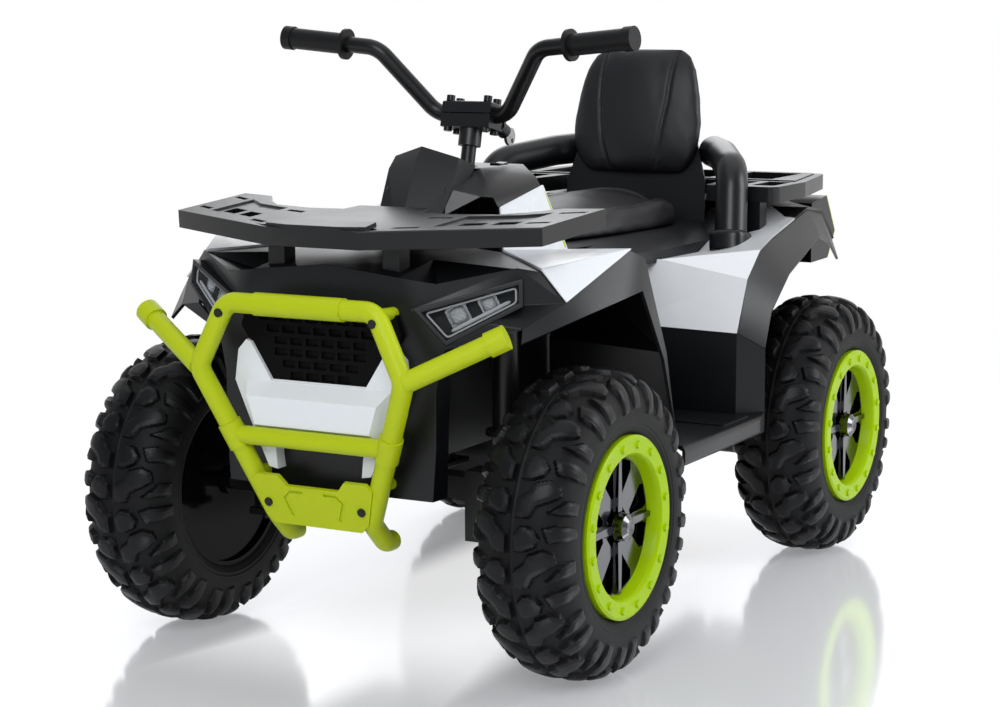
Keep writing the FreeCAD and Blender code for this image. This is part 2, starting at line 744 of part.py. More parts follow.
def make_grip(bar):
    """Sleeve on the bar's end with a flange and a thicker closed end."""
    inner, end = clamp_centre + bar_corner, clamp_centre + grip_tip
    along = (end - inner).normalize()
    start = end - along * grip_length
    grip = rod(start, end + along * 3, grip_radius)
    flange = rod(start, start + along * 5, grip_radius + 6)
    rings = [flange, rod(end - along * 9, end + along * 3, grip_radius + 1.6)]
    return grip.multiFuse(rings).cut(bar)


def make_clamp(bar, column):
    """Lower and upper halves round the bar, and the bolts through both."""
    c = clamp_centre
    half_w, half_d = clamp_width / 2, clamp_depth / 2
    base = block(c + V(-half_w, -half_d, -17), c + V(half_w, half_d, -0.6))
    cap = block(c + V(-half_w, -half_d, 0.6), c + V(half_w, half_d, 15))
    base = base.fuse(rod(c + V(0, 0, -38), c + V(0, 0, -10), column_radius + 5))
    base = leaned(base)
    cap = leaned(soften(cap, 3, lambda e: min(v.Z for v in e.Vertexes) > c.z + 14))
    bolts = []
    for x in (-half_w + 8, half_w - 8):
        for y in (-half_d + 5.5, half_d - 5.5):
            shank = rod(c + V(x, y, -21), c + V(x, y, 17), 3.0)
            head = rod(c + V(x, y, 15), c + V(x, y, 22), 5.2)
            nut = rod(c + V(x, y, -22), c + V(x, y, -17), 5.2)
            bolts.append(leaned(shank.multiFuse([head, nut])))
    base = base.cut(bar).cut(column)
    cap = cap.cut(bar)
    for bolt in bolts:
        base = base.cut(bolt)
        cap = cap.cut(bolt)
    return base, cap, Part.makeCompound([b.cut(bar) for b in bolts])


lock_radius = 9.0
key_turn_point = V(27, 31, -21)


def make_lock(base, bolts, bar):
    """Lock barrel on the clamp's rear corner, with a keyway facing the rider."""
    c = clamp_centre + key_turn_point
    barrel = rod(c + V(0, -16, 8), c, lock_radius)
    tongue = block(c + V(-7, -24, 2), c + V(7, -8, 14))
    lock = barrel.fuse(tongue).cut(keyway_hole(c))
    return largest(trimmed(lock, base, bolts, bar))


def keyway_hole(c):
    along = V(0, 20, -10).normalize()
    return rod(c - along * 10, c + along * 2, 5.0)


def make_key():
    """Key: a plug in the lock, a stem and a bow with a hole for a ring."""
    c = clamp_centre + key_turn_point
    along = V(0, 20, -10).normalize()
    plug = rod(c - along * 9.5, c + along * 3, 4.6)
    bow_at = c + along * 15
    bow = Part.makeCylinder(11, 4, V(0, 0, -2), Z_AXIS)
    bow = bow.cut(Part.makeCylinder(3, 6, V(0, 6, -3), Z_AXIS))
    bow.rotate(ORIGIN, Y_AXIS, 90)
    bow.rotate(ORIGIN, X_AXIS, -60)
    bow.translate(bow_at)
    stem = rod(c, bow_at, 2.6)
    return plug.multiFuse([stem, bow])


# Nose
lamp_outline = [front(116, -116, 243), front(150, -105, 204), front(221, -60, 246), front(219, -57, 276)]
lamp_rim = 5.0
lamp_depth = 22.0
lamp_stand = 4.0
lamp_clear = 10.0


def lamp_frame():
    a, b, _, d = lamp_outline
    normal = (b - a).cross(d - a).normalize()
    if normal.y > 0:
        normal = normal * -1
    flat = [p - normal * (p - a).dot(normal) for p in lamp_outline]
    return flat, normal


def inset(points, normal, distance):
    """A flat convex outline with each side moved in."""
    centre = V(0, 0, 0)
    for p in points:
        centre = centre + p * (1 / len(points))
    moved = []
    for i, p in enumerate(points):
        sides = []
        for q in (points[i - 1], points[(i + 1) % len(points)]):
            along = (q - p).normalize()
            across = normal.cross(along)
            if across.dot(centre - p) < 0:
                across = across * -1
            sides.append((along, across))
        (u, a), (v, b) = sides
        turn = math.sin(u.getAngle(v))
        moved.append(p + (u + v) * (distance / turn))
    return moved


def make_headlights():
    """Housing, clear cover and two square reflectors in each lamp."""
    flat, normal = lamp_frame()
    inner = inset(flat, normal, lamp_rim)
    foot = [p - normal * lamp_depth for p in flat]
    body = prism(foot, normal * (lamp_depth + lamp_stand))
    recess = prism(foot, normal * (lamp_depth + lamp_clear))
    housing = body.cut(prism([p - normal * (lamp_depth - 4) for p in inner], normal * (lamp_depth + 8)))
    lens = prism([p + normal * 0.5 for p in inner], normal * 3)
    a, b, c, d = inner
    reflectors = []
    for share, size in ((0.30, 24.0), (0.66, 21.0)):
        low = b + (c - b) * share
        high = a + (d - a) * share
        centre = low + (high - low) * 0.56 - normal * (lamp_depth - 4)
        across = (c - b).normalize()
        up = normal.cross(across).normalize()
        if up.z < 0:
            up = up * -1
        across, up = across * (size / 2), up * (size / 2)
        corners = [centre - across - up, centre + across - up, centre + across + up, centre - across + up]
        cup = prism(corners, normal * 13)
        cup = soften(cup, 4, lambda e: abs(e.tangentAt(e.FirstParameter).dot(normal)) > 0.9)
        hollow = prism(inset([p + normal * 4 for p in corners], normal, 2.5), normal * 20)
        reflectors.append(cup.cut(hollow))
    reflectors += [mirrored(r) for r in reflectors]
    return both_sides(housing), both_sides(lens), Part.makeCompound(reflectors), recess


def make_grille():
    """Six-sided grille plate with rows of pockets."""
    outline = [(-98, 240), (98, 240), (106, 214), (62, 152), (-62, 152), (-106, 214)]
    plate = prism([front(x, -126, z) for x, z in outline], V(0, 16, 0))
    for row in range(6):
        z = 161 + row * 13
        half = 52 + row * 7 if row < 5 else 84
        count = int(half * 2 // 21)
        for i in range(count):
            x = (i - (count - 1) / 2) * 21
            plate = plate.cut(block(front(x - 8, -127, z - 4), front(x + 8, -122, z + 4)))
    return plate


def make_nose_bumper():
    """White bumper with two horns beside the grille, a shelf below it and two prongs."""
    half = [(62, 154), (90, 197), (96, 199), (107, 187), (112, 152), (98, 120)]
    half += [(88, 98), (68, 56), (56, 54), (60, 92)]
    outline = half + [(-x, z) for x, z in reversed(half)]
    plate = prism([front(x, -131, z) for x, z in outline], V(0, 18, 0))
    base = ((98, 156), (82, 94), (-82, 94), (-98, 156), (98, 156))
    shelf = ((86, 138), (76, 106), (-76, 106), (-86, 138), (86, 138))
    back = Part.makePolygon([front(x, -128, z) for x, z in base])
    face = Part.makePolygon([front(x, -147, z) for x, z in shelf])
    return plate.fuse(Part.makeLoft([back, face], True, True)).removeSplitter()


# Bull bar
bull_joint = front(135, -168, 171)
bull_leg_top = front(rail_x, -123, 2)
bull_foot_z = -25.0
stay_radius = 7.0
bull_stub_end = front(238, -127, 223)
crossbar_z = 93.0


def leg_point(z):
    share = (z - 2) / (171.0 - 2)
    return bull_leg_top + (bull_joint - bull_leg_top) * share


def make_bull_hoop():
    """Bent hoop with a side stub on each corner, end caps, collars for the crossbar and stays to the nose."""
    feet = [front(rail_x, -82, bull_foot_z), front(rail_x, -96, bull_foot_z)]
    left = feet + [bull_leg_top, bull_joint, front(98, -164, 245)]
    points = left + [flipped(p) for p in reversed(left)]
    hoop = tube(points, bull_tube_radius, 22.0)
    along = (bull_stub_end - bull_joint).normalize()
    stub = rod(bull_joint + along * 2, bull_stub_end, bull_tube_radius)
    cap = rod(bull_stub_end - along * 22, bull_stub_end, bull_tube_radius + 2.5)
    leg = (bull_joint - bull_leg_top).normalize()
    at = leg_point(crossbar_z)
    collar = rod(at - leg * 15, at + leg * 15, bull_tube_radius + 2)
    sleeve = rod(front(-58, -164, 245), front(58, -164, 245), bull_tube_radius + 1.5)
    low_stay = leg_point(48)
    stays = [rod(front(92, -164, 240), front(92, -112, 238), stay_radius)]
    stays.append(rod(low_stay, low_stay + V(0, 26, 0), stay_radius))
    extras = [stub, cap, collar] + stays
    return hoop.multiFuse(extras + [mirrored(e) for e in extras] + [sleeve]).removeSplitter()


def make_crossbar(hoop):
    at = leg_point(crossbar_z)
    return largest(rod(flipped(at), at, bull_tube_radius - 1).cut(hoop))


plate_thickness = 5.0


def make_skid_plate(hoop):
    """Plate across the feet of the hoop, with a notched top and two raised-edge grooves."""
    leg = (bull_joint - bull_leg_top).normalize()
    up = V(0, leg.y, leg.z).normalize()
    out = V(0, -up.z, up.y)
    centre = V(0, bull_leg_top.y, bull_leg_top.z) + out * (bull_tube_radius - 3)
    half = [(58, -6), (68, 4), (80, 46), (72, 54), (44, 54), (34, 42)]
    outline = half + [(-x, h) for x, h in reversed(half)]
    plate = prism([centre + V(x, 0, 0) + up * h for x, h in outline], out * plate_thickness)
    for side in (-1, 1):
        groove = [(14, 34), (14, 37), (31, 37), (41, 27), (33, 5), (29, 6), (37, 26.5), (29.5, 34)]
        corners = [centre + V(side * x, 0, 0) + up * h + out * (plate_thickness - 2) for x, h in groove]
        plate = plate.cut(prism(corners, out * 4))
    return largest(plate.cut(hoop)), centre, up, out


def make_bull_screws(hoop, plate, centre, up, out):
    """Screw heads at the hoop's upper corners and on the skid plate."""
    heads = []
    for side in (-1, 1):
        spot = centre + V(side * 62, 0, 0) + up * 20
        heads.append(rod(spot + out * 2, spot + out * (plate_thickness + 2), 5.0))
        corner = front(side * 101, -164, 234)
        heads.append(rod(corner, corner + V(0, -bull_tube_radius - 1.5, 0), 5.0))
    trimmed = []
    for head in heads:
        rest = head.cut(hoop).cut(plate)
        trimmed.append(min(rest.Solids, key=lambda s: s.CenterOfMass.y))
    return Part.makeCompound(trimmed)


# Racks
rack_tilt = 3.6
rack_pivot = front(0, -58, 333)
front_rack_half = [
    (60, -139), (243, -58), (248, 86), (200, 74), (176, 40), (150, 14), (96, 2), (52, 6), (48, 34),
]
rear_rack_half = [(124, 18), (132, -78), (228, -78), (236, -66), (236, 26), (206, 170), (196, 178)]
rear_rack_top = 327.0
deck_rise = 1.5


def rack_plate(half, low, high, place):
    outline = half + [(-x, y) for x, y in reversed(half)]
    return prism([place(x, y, low) for x, y in outline], V(0, 0, high - low))


def make_front_rack():
    """Sloping carrier with a raised front panel and pockets."""
    top = 333.0
    rack = rack_plate(front_rack_half, top - rack_thickness, top, front)
    raised = [(34, -139), (66, -132), (58, -96), (-58, -96), (-66, -132), (-34, -139)]
    rack = rack.fuse(prism([front(x, y, top - 1) for x, y in raised], V(0, 0, 5)))
    tray = [(122, -84), (202, -46), (204, 40), (176, 14), (122, -8)]
    holes = [
        [(136, -62), (160, -51), (160, -27), (136, -38)], [(170, -46), (194, -35), (194, -9), (170, -20)],
        [(212, -38), (234, -27), (234, -19), (212, -30)], [(214, 36), (238, 50), (238, 58), (214, 44)],
        [(86, -110), (110, -99), (110, -91), (86, -102)], [(84, -34), (110, -26), (110, -18), (84, -26)],
    ]
    for outline, depth in [(tray, 3)] + [(hole, 9) for hole in holes]:
        for side in (-1, 1):
            corners = [front(side * x, y, top - depth) for x, y in outline]
            rack = rack.cut(prism(corners, V(0, 0, 20)))
    rack.rotate(rack_pivot, X_AXIS, rack_tilt)
    return rack.removeSplitter()


def make_rear_rack():
    """Level carrier with a raised deck behind the arms, and pockets."""
    rack = rack_plate(rear_rack_half, rear_rack_top - rack_thickness, rear_rack_top, rear)
    rack = soften(rack, 10, lambda e: e.BoundBox.ZLength > rack_thickness - 1)
    deck = [(116, 24), (222, 24), (196, 158), (188, 166)]
    rack = rack.fuse(rack_plate(deck, rear_rack_top - 1, rear_rack_top + deck_rise, rear))
    for x0, x1, y0, y1 in ((146, 176, -60, 10), (190, 222, -54, 10), (14, 90, 34, 160), (106, 182, 34, 150)):
        for side in (-1, 1):
            low, high = sorted((side * x0, side * x1))
            rack = rack.cut(block(rear(low, y0, rear_rack_top - 9), rear(high, y1, rear_rack_top + 5)))
    return rack


def rack_post(x, y, low, high, place, neighbours):
    """A post between a rack and the panel under it."""
    half = rack_post_size / 2
    post = block(place(x - half, y - half, low), place(x + half, y + half, high))
    return largest(trimmed(post, *neighbours))


# Seat
seat_deck = tub_rim
seat_top = 18.0
back_depth = 24.0
back_lean = 0.17


def back_y(z):
    """Where the front of the seat back stands at a height over the seat."""
    return 316 + back_lean * z


def seat_section(y, half, flare, top):
    """Outline of the seat's moulding across the bike at one place along it."""
    half_points = [(flare, -16), (flare, 0), (half, top - 6), (half - 12, top)]
    points = half_points + [(-x, z) for x, z in reversed(half_points)]
    return Part.makePolygon([middle(x, y, seat_deck + z) for x, z in points + points[:1]])


def make_seat_shell():
    """Seat moulding with its flared skirt, and the back it carries."""
    stations = ((-98, 70, 84), (0, 92, 122), (120, 112, 147), (230, 116, 147), (340, 114, 147))
    seat = Part.makeLoft([seat_section(*s, seat_top) for s in stations], True, True)
    under = tub_half_width - tub_wall - 6
    seat = seat.cut(block(middle(-under, -70, seat_deck - 40), middle(under, 300, seat_deck + seat_top - 6)))
    outlines = [(110, 0), (106, 60), (90, 112), (86, 150), (76, 196), (50, 228)]
    sections = []
    for half, z in outlines:
        corners = ((half, 0), (half - 10, back_depth), (-half + 10, back_depth), (-half, 0))
        face = [middle(x, back_y(z) + d, seat_deck + 12 + z) for x, d in corners]
        sections.append(Part.makePolygon(face + face[:1]))
    back = Part.makeLoft(sections, True, True)
    return seat.fuse(back).removeSplitter()


def crowned_section(points_of):
    """A closed outline from lists of points: two make a line, three an arc."""
    edges = []
    for points in points_of:
        if len(points) == 2:
            edges.append(Part.LineSegment(*points).toShape())
        else:
            edges.append(Part.Arc(*points).toShape())
    return Part.Wire(edges)


def pad_section(at, half, crown, draw, groove_x):
    """Outline of a pad: flat back, drawn-in sides, a crowned face and two sewn channels."""
    g = groove_x
    d = 4.0
    edge = crown * 0.55
    between = (half - 5 + g + d) / 2

    def rise(x):
        return edge + (crown - edge) * (1 - (x / half) ** 2)

    points = [
        [at(-half + draw, 0), at(half - draw, 0)],
        [at(half - draw, 0), at(half, edge * 0.5), at(half - 5, rise(half - 5))],
        [at(half - 5, rise(half - 5)), at(between, rise(between)), at(g + d, rise(g + d))],
        [at(g + d, rise(g + d)), at(g, rise(g) - 3.5), at(g - d, rise(g - d))],
        [at(g - d, rise(g - d)), at(0, rise(0) + 1), at(-g + d, rise(g - d))],
        [at(-g + d, rise(g - d)), at(-g, rise(g) - 3.5), at(-g - d, rise(g + d))],
        [at(-g - d, rise(g + d)), at(-between, rise(between)), at(-half + 5, rise(half - 5))],
        [at(-half + 5, rise(half - 5)), at(-half, edge * 0.5), at(-half + draw, 0)],
    ]
    return crowned_section(points)


pad_gap = 0.4


def make_back_pad():
    """Backrest pad, leaning with the seat back, widest at mid height."""
    stations = (
        (66, 70, 0.4), (78, 84, 0.8), (106, 98, 1.0), (150, 100, 1.0), (196, 92, 0.95), (232, 76, 0.7),
        (243, 62, 0.4),
    )
    sections = []
    for z, half, share in stations:
        y = back_y(z) - pad_gap
        place = lambda x, out, y=y, z=z: middle(x, y - out, seat_deck + 12 + z)
        sections.append(pad_section(place, half, pad_thickness * share, 5.0, 0.42 * half))
    return Part.makeLoft(sections, True, False)


def make_seat_pad():
    """Seat pad: crowned, drawn in at the sides, narrower to the front."""
    stations = (
        (-44, 50, 0.3), (-28, 64, 0.6), (10, 80, 0.75), (110, 98, 0.9), (210, 106, 1.0), (262, 96, 0.9),
        (276, 80, 0.5),
    )
    sections = []
    for y, half, share in stations:
        place = lambda x, out, y=y: middle(x, y, seat_deck + seat_top + pad_gap + out)
        sections.append(pad_section(place, half, seat_thickness * share, 4.0, 0.6 * half))
    return Part.makeLoft(sections, True, False)


def make_armrests(shell, deck, white):
    """Bent tubes from the seat back to the deck, each with a foot cap."""
    points = [middle(104, 358, 366), middle(130, 330, 363), middle(181, 248, 349), middle(194, 212, 210)]
    arm = tube(points, arm_tube_radius, arm_bend)
    along = (points[3] - points[2]).normalize()
    cap = rod(points[3] - along * 16, points[3], arm_tube_radius + 4.5)
    arm = arm.fuse(cap)
    for other in (shell, deck, white):
        arm = arm.cut(other)
    return both_sides(largest(arm))


# Tail
tail_profile = [(112, 206), (175, 207), (202, 244), (168, 297), (112, 290)]
tail_half = 212.0


def make_tail():
    """Hollow tail box, open to the front, and the bright trim on its rear faces."""
    outer = prism([rear(-tail_half, y, z) for y, z in tail_profile], V(2 * tail_half, 0, 0))
    hollow = [(110, 211), (172, 212), (195, 244), (164, 291), (110, 284)]
    inner = prism([rear(-tail_half + 5, y, z) for y, z in hollow], V(2 * tail_half - 10, 0, 0))
    box = outer.cut(inner)
    face = [(175, 207), (202, 244), (168, 297), (171, 297), (205, 244), (178, 207)]
    band = prism([rear(-tail_half, y, z) for y, z in face], V(2 * tail_half, 0, 0))
    window = block(rear(-tail_half + 22, 100, 216), rear(tail_half - 22, 300, 286))
    return box, band.cut(window)


# Controls on the body
pedal_x = -205.0
pedal_pivot = front(pedal_x, 232, 64)


def make_pedal():
    """Foot pedal hinged at its front edge over the right footboard."""
    c = pedal_pivot
    barrel = rod(c + V(-30, 0, 0), c + V(30, 0, 0), 5.0)
    plate = block(c + V(-26, -2, -1), c + V(26, 96, 6))
    tip = c.y + 50
    plate = soften(plate, 6, lambda e: abs(e.tangentAt(e.FirstParameter).z) > 0.9 and e.Vertexes[0].Y > tip)
    for i in range(5):
        plate = plate.fuse(block(c + V(-22, 22 + i * 14, 5), c + V(22, 28 + i * 14, 8)))
    pedal = plate.fuse(barrel)
    pedal.rotate(c, X_AXIS, 14)
    return pedal.cut(rod(c + V(-40, 0, 0), c + V(40, 0, 0), 2.5 + running_clearance))


def pedal_ears():
    """Ears and hinge pin on the footboard."""
    c = pedal_pivot
    ears = [block(c + V(x, -6, -12), c + V(x + 5, 6, 6)) for x in (-36, 31)]
    return ears[0].multiFuse([ears[1], rod(c + V(-36, 0, 0), c + V(36, 0, 0), 2.5)])


switch_spot = front(24, 238, 375)
button_spot = front(-24, 238, 375)


def make_switch():
    """Forward and reverse rocker, pivoting in the dash."""
    c = switch_spot
    outline = ((-11, 3), (0, 1.5), (11, 3), (9, -8), (-9, -8))
    rocker = prism([c + V(-7, y, z) for y, z in outline], V(14, 0, 0))
    return rocker


def switch_hole(c, half_x, half_y):
    return block(c + V(-half_x, -half_y, -30), c + V(half_x, half_y, 30))


def make_button():
    """Round start button."""
    return rod(button_spot + V(0, 0, -10), button_spot + V(0, 0, 4), 8.0)


def make_battery():
    """Sealed battery on the tub's floor."""
    box = block(middle(-75, 60, tub_floor + tub_wall), middle(75, 158, tub_floor + tub_wall + 95))
    posts = [rod(middle(x, 76, tub_floor + 95), middle(x, 76, tub_floor + 106), 5) for x in (-50, 50)]
    return soften(box, 3).multiFuse(posts)


def trimmed(shape, *others):
    """Takes away what would overlap the pieces that a shape is fitted against."""
    for other in others:
        if shape.BoundBox.intersect(other.BoundBox):
            shape = shape.cut(other)
    return shape


def build():
    """Every piece of the bike by name."""
    nodes = make_wheels()

    every_front = nose_facets + hood_facets + white_front_facets + band_facets + console_facets
    front_body = Facets(front_points, every_front, front_inside)
    fenders = front_body.sheet(hood_facets + white_front_facets + band_facets, -panel, 0)
    nose = front_body.sheet(nose_facets, -panel, 0)
    console = front_body.sheet(console_facets, -panel, 0)
    hood_cover = front_body.sheet(white_front_facets, 0, white_skin, False)
    cowl = Facets(cowl_points, cowl_facets, front(0, 110, 340)).sheet(cowl_facets, -panel, 0)
    every_rear = rear_white_facets + rear_black_facets + trim_facets
    rear_body = Facets(rear_points, every_rear, rear_inside)
    deck = rear_body.sheet(rear_white_facets + rear_black_facets, -panel, 0, False)
    trims = rear_body.sheet(trim_facets, -panel, 0, False)
    rear_white = rear_body.sheet(rear_white_facets, 0, white_skin, False)

    housings, lenses, reflectors, lamp_recess = make_headlights()
    nose = largest(trimmed(nose, lamp_recess, mirrored(lamp_recess)))
    reflectors = trimmed(reflectors, housings)
    grille = largest(trimmed(make_grille(), nose))
    bumper = largest(trimmed(make_nose_bumper(), nose, grille))

    frame = make_frame()
    tub = trimmed(make_tub(), nose, fenders, console, cowl, housings, hood_cover, grille, bumper)
    tub = largest(tub).fuse(pedal_ears()).removeSplitter()
    fenders = largest(trimmed(fenders, tub))
    deck = main_pair(trimmed(deck, tub))
    rear_white = main_pair(trimmed(rear_white, tub))
    seat = trimmed(make_seat_shell(), tub, deck, rear_white, console, fenders)
    seat = largest(seat)

    column = make_column()
    bar = make_handlebar()
    base, cap, bolts = make_clamp(bar, column)
    sweep = rod(column_point(300), column_point(480), column_radius + 4)
    button_hole = rod(button_spot - V(0, 0, 30), button_spot + V(0, 0, 30), 8.5)
    console = largest(trimmed(console, sweep, switch_hole(switch_spot, 7.4, 12), button_hole))
    cowl = largest(trimmed(cowl, console, fenders, hood_cover))

    hoop = largest(trimmed(make_bull_hoop(), nose, grille, bumper))
    skid_plate, centre, up, out = make_skid_plate(hoop)
    front_rack = make_front_rack()
    front_rack = trimmed(front_rack, cowl, console)
    rear_rack = make_rear_rack()
    posts = []
    under_front = [front_rack, hood_cover, fenders, nose]
    under_rear = [rear_rack, rear_white, deck]
    for side in (-1, 1):
        posts.append(rack_post(side * 200, 36, 255, 345, front, under_front))
        posts.append(rack_post(side * 76, -86, 255, 345, front, under_front))
        posts.append(rack_post(side * 200, -62, 250, 330, rear, under_rear))
        posts.append(rack_post(side * 190, 96, 250, 330, rear, under_rear))
    tail, tail_trim = make_tail()
    tail = largest(trimmed(tail, deck, rear_white, trims, tub))

    nodes.update({
        "chassis_frame": frame, "lower_body": tub, "nose_shell": nose, "grille": grille,
        "nose_bumper": bumper,
        "headlight_housings": housings, "headlight_lenses": lenses, "headlight_reflectors": reflectors,
        "front_fenders": fenders, "hood_cover": hood_cover, "steering_cowl": cowl, "dash_console": console,
        "bull_bar_hoop": hoop, "bull_bar_crossbar": make_crossbar(hoop), "skid_plate": skid_plate,
        "bull_bar_screws": make_bull_screws(hoop, skid_plate, centre, up, out),
        "front_rack": front_rack, "rear_rack": rear_rack, "rack_posts": Part.makeCompound(posts),
        "rear_deck": deck, "rear_fender_trims": trims, "rear_side_covers": rear_white,
        "seat_shell": seat, "seat_pad": make_seat_pad(), "back_pad": make_back_pad(),
        "armrests": make_armrests(seat, deck, rear_white), "tail_box": tail, "tail_trim": tail_trim,
        "battery": make_battery(), "drive_units": trimmed(make_drive_units(), deck),
        "rear_axle": make_rear_axle(), "strut_covers": make_strut_covers(fenders),
        "steering_column": column, "handlebar": bar, "clamp_base": base, "clamp_cap": cap,
        "clamp_bolts": bolts,
        "grip_left": make_grip(bar), "grip_right": mirrored(make_grip(bar)),
        "ignition_lock": make_lock(base, bolts, bar), "ignition_key": make_key(),
        "knuckle_left": make_knuckle(1), "knuckle_right": make_knuckle(-1), "tie_rod": make_tie_rod(),
        "throttle_pedal": make_pedal(), "direction_switch": make_switch(), "start_button": make_button(),
    })
    return nodes


os.makedirs("parts", exist_ok=True)
for name, shape in build().items():
    shape.exportStep(os.path.join("parts", name + ".step"))
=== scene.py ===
# %% [markdown]
# A child's quad bike, dressed piece by piece
#
# The solid model gives every rigid piece its place and size. This lesson loads it, sets up a camera, gives
# each piece its finish and closes with a studio. Tyres, soft pads and small trim are made new, because a
# solid model keeps them plain. Lengths are in metres unless a name or a comment says otherwise.

import bpy
import math
import numpy as np
from mathutils import Matrix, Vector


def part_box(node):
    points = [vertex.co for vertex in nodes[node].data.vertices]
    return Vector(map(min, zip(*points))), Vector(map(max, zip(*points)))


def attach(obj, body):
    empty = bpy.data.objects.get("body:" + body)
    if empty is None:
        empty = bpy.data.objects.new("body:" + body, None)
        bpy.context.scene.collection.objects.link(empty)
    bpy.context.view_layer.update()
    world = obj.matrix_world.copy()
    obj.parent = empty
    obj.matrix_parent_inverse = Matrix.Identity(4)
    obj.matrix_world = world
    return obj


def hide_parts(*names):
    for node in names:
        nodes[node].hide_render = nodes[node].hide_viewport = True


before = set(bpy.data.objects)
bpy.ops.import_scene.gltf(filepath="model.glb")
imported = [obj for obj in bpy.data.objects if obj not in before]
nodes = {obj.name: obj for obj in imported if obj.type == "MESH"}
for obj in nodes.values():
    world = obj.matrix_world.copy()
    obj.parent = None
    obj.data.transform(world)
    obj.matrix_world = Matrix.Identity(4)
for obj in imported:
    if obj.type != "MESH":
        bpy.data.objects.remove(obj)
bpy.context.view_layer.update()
scene = bpy.context.scene

# %% [markdown]
# The camera
#
# The photo was taken from a little to the left of the bike's front, just above its handlebar. A camera can
# be aimed by eye, but matched points on both sides of a symmetric object give its place exactly, so the
# place, the two angles, the small roll and the lens are written here as numbers.

# %% Camera
camera_place = np.array([1.3913, -2.54795, 0.7456])
azimuth, elevation, roll = np.radians([29.381, 8.779, -0.336])
lens_mm, sensor_mm = 81.59, 36.0


def placed(right, up, back, place):
    """The matrix of a camera or lamp, from its place and the directions right, up and back."""
    matrix = np.eye(4)
    matrix[:3] = np.stack([right, up, back, place], axis=1)
    return Matrix(matrix.tolist())


level_share = math.cos(elevation)
back = np.array([math.sin(azimuth) * level_share, -math.cos(azimuth) * level_share, math.sin(elevation)])
horizon = np.array([math.cos(azimuth), math.sin(azimuth), 0.0])
upright = np.cross(back, horizon)
right = math.cos(roll) * horizon + math.sin(roll) * upright
up = math.cos(roll) * upright - math.sin(roll) * horizon

camera_data = bpy.data.cameras.new("photo_camera")
camera_data.lens = lens_mm
camera_data.sensor_width = sensor_mm
camera_data.sensor_fit = "HORIZONTAL"
camera = bpy.data.objects.new("photo_camera", camera_data)
camera.matrix_world = placed(right, up, back, camera_place)
scene.collection.objects.link(camera)
scene.camera = camera
print("camera at", camera_place, "lens", lens_mm, "mm")

# %% [markdown]
# Writing shader sums as Python
#
# A material is a graph of small nodes. Wiring each one by hand hides the idea, so one class holds a socket
# and turns plus, minus, times, greater-than and abs into Math nodes. Every other node comes from its `node`
# method, and the ones used most have a short name of their own.

# %% A socket that does arithmetic
class Value:
    """A socket in one graph: arithmetic on it adds Math nodes, and node() adds any other node."""

    def __init__(self, tree, socket=None):
        self.tree = tree
        self.socket = socket

    def feed(self, target, sockets):
        """Fills a node's sockets: a Value is linked, and a plain number or colour is set."""
        for name, value in dict(sockets).items():
            if isinstance(value, Value):
                self.tree.links.new(value.socket, target.inputs[name])
            else:
                target.inputs[name].default_value = value

    def node(self, kind, settings=(), sockets=(), output=0):
        """Adds a node of a kind, sets its settings first, then its sockets, and gives an output."""
        made = self.tree.nodes.new("ShaderNode" + kind)
        for name, setting in dict(settings).items():
            setattr(made, name, setting)
        self.feed(made, sockets)
        return Value(self.tree, made.outputs[output]) if made.outputs else None

    def maths(self, operation, *terms):
        """A Math node with these terms."""
        return self.node("Math", {"operation": operation}, dict(enumerate(terms)))

    def __add__(self, other):
        return self.maths("ADD", self, other)

    def __sub__(self, other):
        return self.maths("SUBTRACT", self, other)

    def __rsub__(self, other):
        return self.maths("SUBTRACT", other, self)

    def __mul__(self, other):
        return self.maths("MULTIPLY", self, other)

    def __gt__(self, other):
        return self.maths("GREATER_THAN", self, other)

    def __abs__(self):
        return self.maths("ABSOLUTE", self)

    __radd__ = __add__
    __rmul__ = __mul__

    def mix(self, low, high):
        """The colour between low and high where this value is the share of high."""
        return self.node("Mix", {"data_type": "RGBA"}, {"Factor": self, 6: low, 7: high}, output=2)

    def blend(self, low, high):
        """The shader between low and high where this value is the share of high."""
        return self.node("MixShader", {}, {0: self, 1: low, 2: high})

    def between(self, low, high):
        """This value, 0 to 1, stretched to run from low to high."""
        return self * (high - low) + low

    def climb(self, low, high, kind="LINEAR"):
        """0 where this value is below low, 1 above high, and a straight or soft climb between."""
        limits = {"Value": self, "From Min": low, "From Max": high}
        return self.node("MapRange", {"interpolation_type": kind}, limits)

    def place(self):
        """The point on the piece, in its own Object coordinates."""
        return self.node("TexCoord", output="Object")

    def axis(self, letter):
        """One coordinate of this point: X, Y or Z."""
        return self.node("SeparateXYZ", {}, {0: self}, output=letter)

    def noise(self, scale, detail, roughness=0.5):
        """Random clouds over the piece, about so many to the metre."""
        sockets = {"Vector": self.place(), "Scale": scale, "Detail": detail, "Roughness": roughness}
        return self.node("TexNoise", {}, sockets)

    def bump(self, strength, depth):
        """The surface's normal where this value is a height and 1 stands for the depth."""
        return self.node("Bump", {}, {"Height": self, "Strength": strength, "Distance": depth})

    def feeding(self, shader, socket):
        """What already feeds a socket of a shader in this graph."""
        return Value(self.tree, shader.inputs[socket].links[0].from_socket)


print("shader sums ready")

# %% Starting a finish
def opened(material):
    """A material's Principled shader, and a Value to start sums from."""
    return material.node_tree.nodes["Principled BSDF"], Value(material.node_tree)


def finish_named(name):
    """A new material with one Principled shader: the material, that shader and a Value for sums."""
    material = bpy.data.materials.new(name)
    material.use_nodes = True
    return material, *opened(material)


def rgb(red, green, blue):
    """A screen colour, 0 to 255 each, as the linear colour a shader takes, by the curve of screens."""
    screen = np.array([red, green, blue]) / 255.0
    linear = np.where(screen <= 0.04045, screen / 12.92, ((screen + 0.055) / 1.055) ** 2.4)
    return (*[float(v) for v in linear], 1.0)


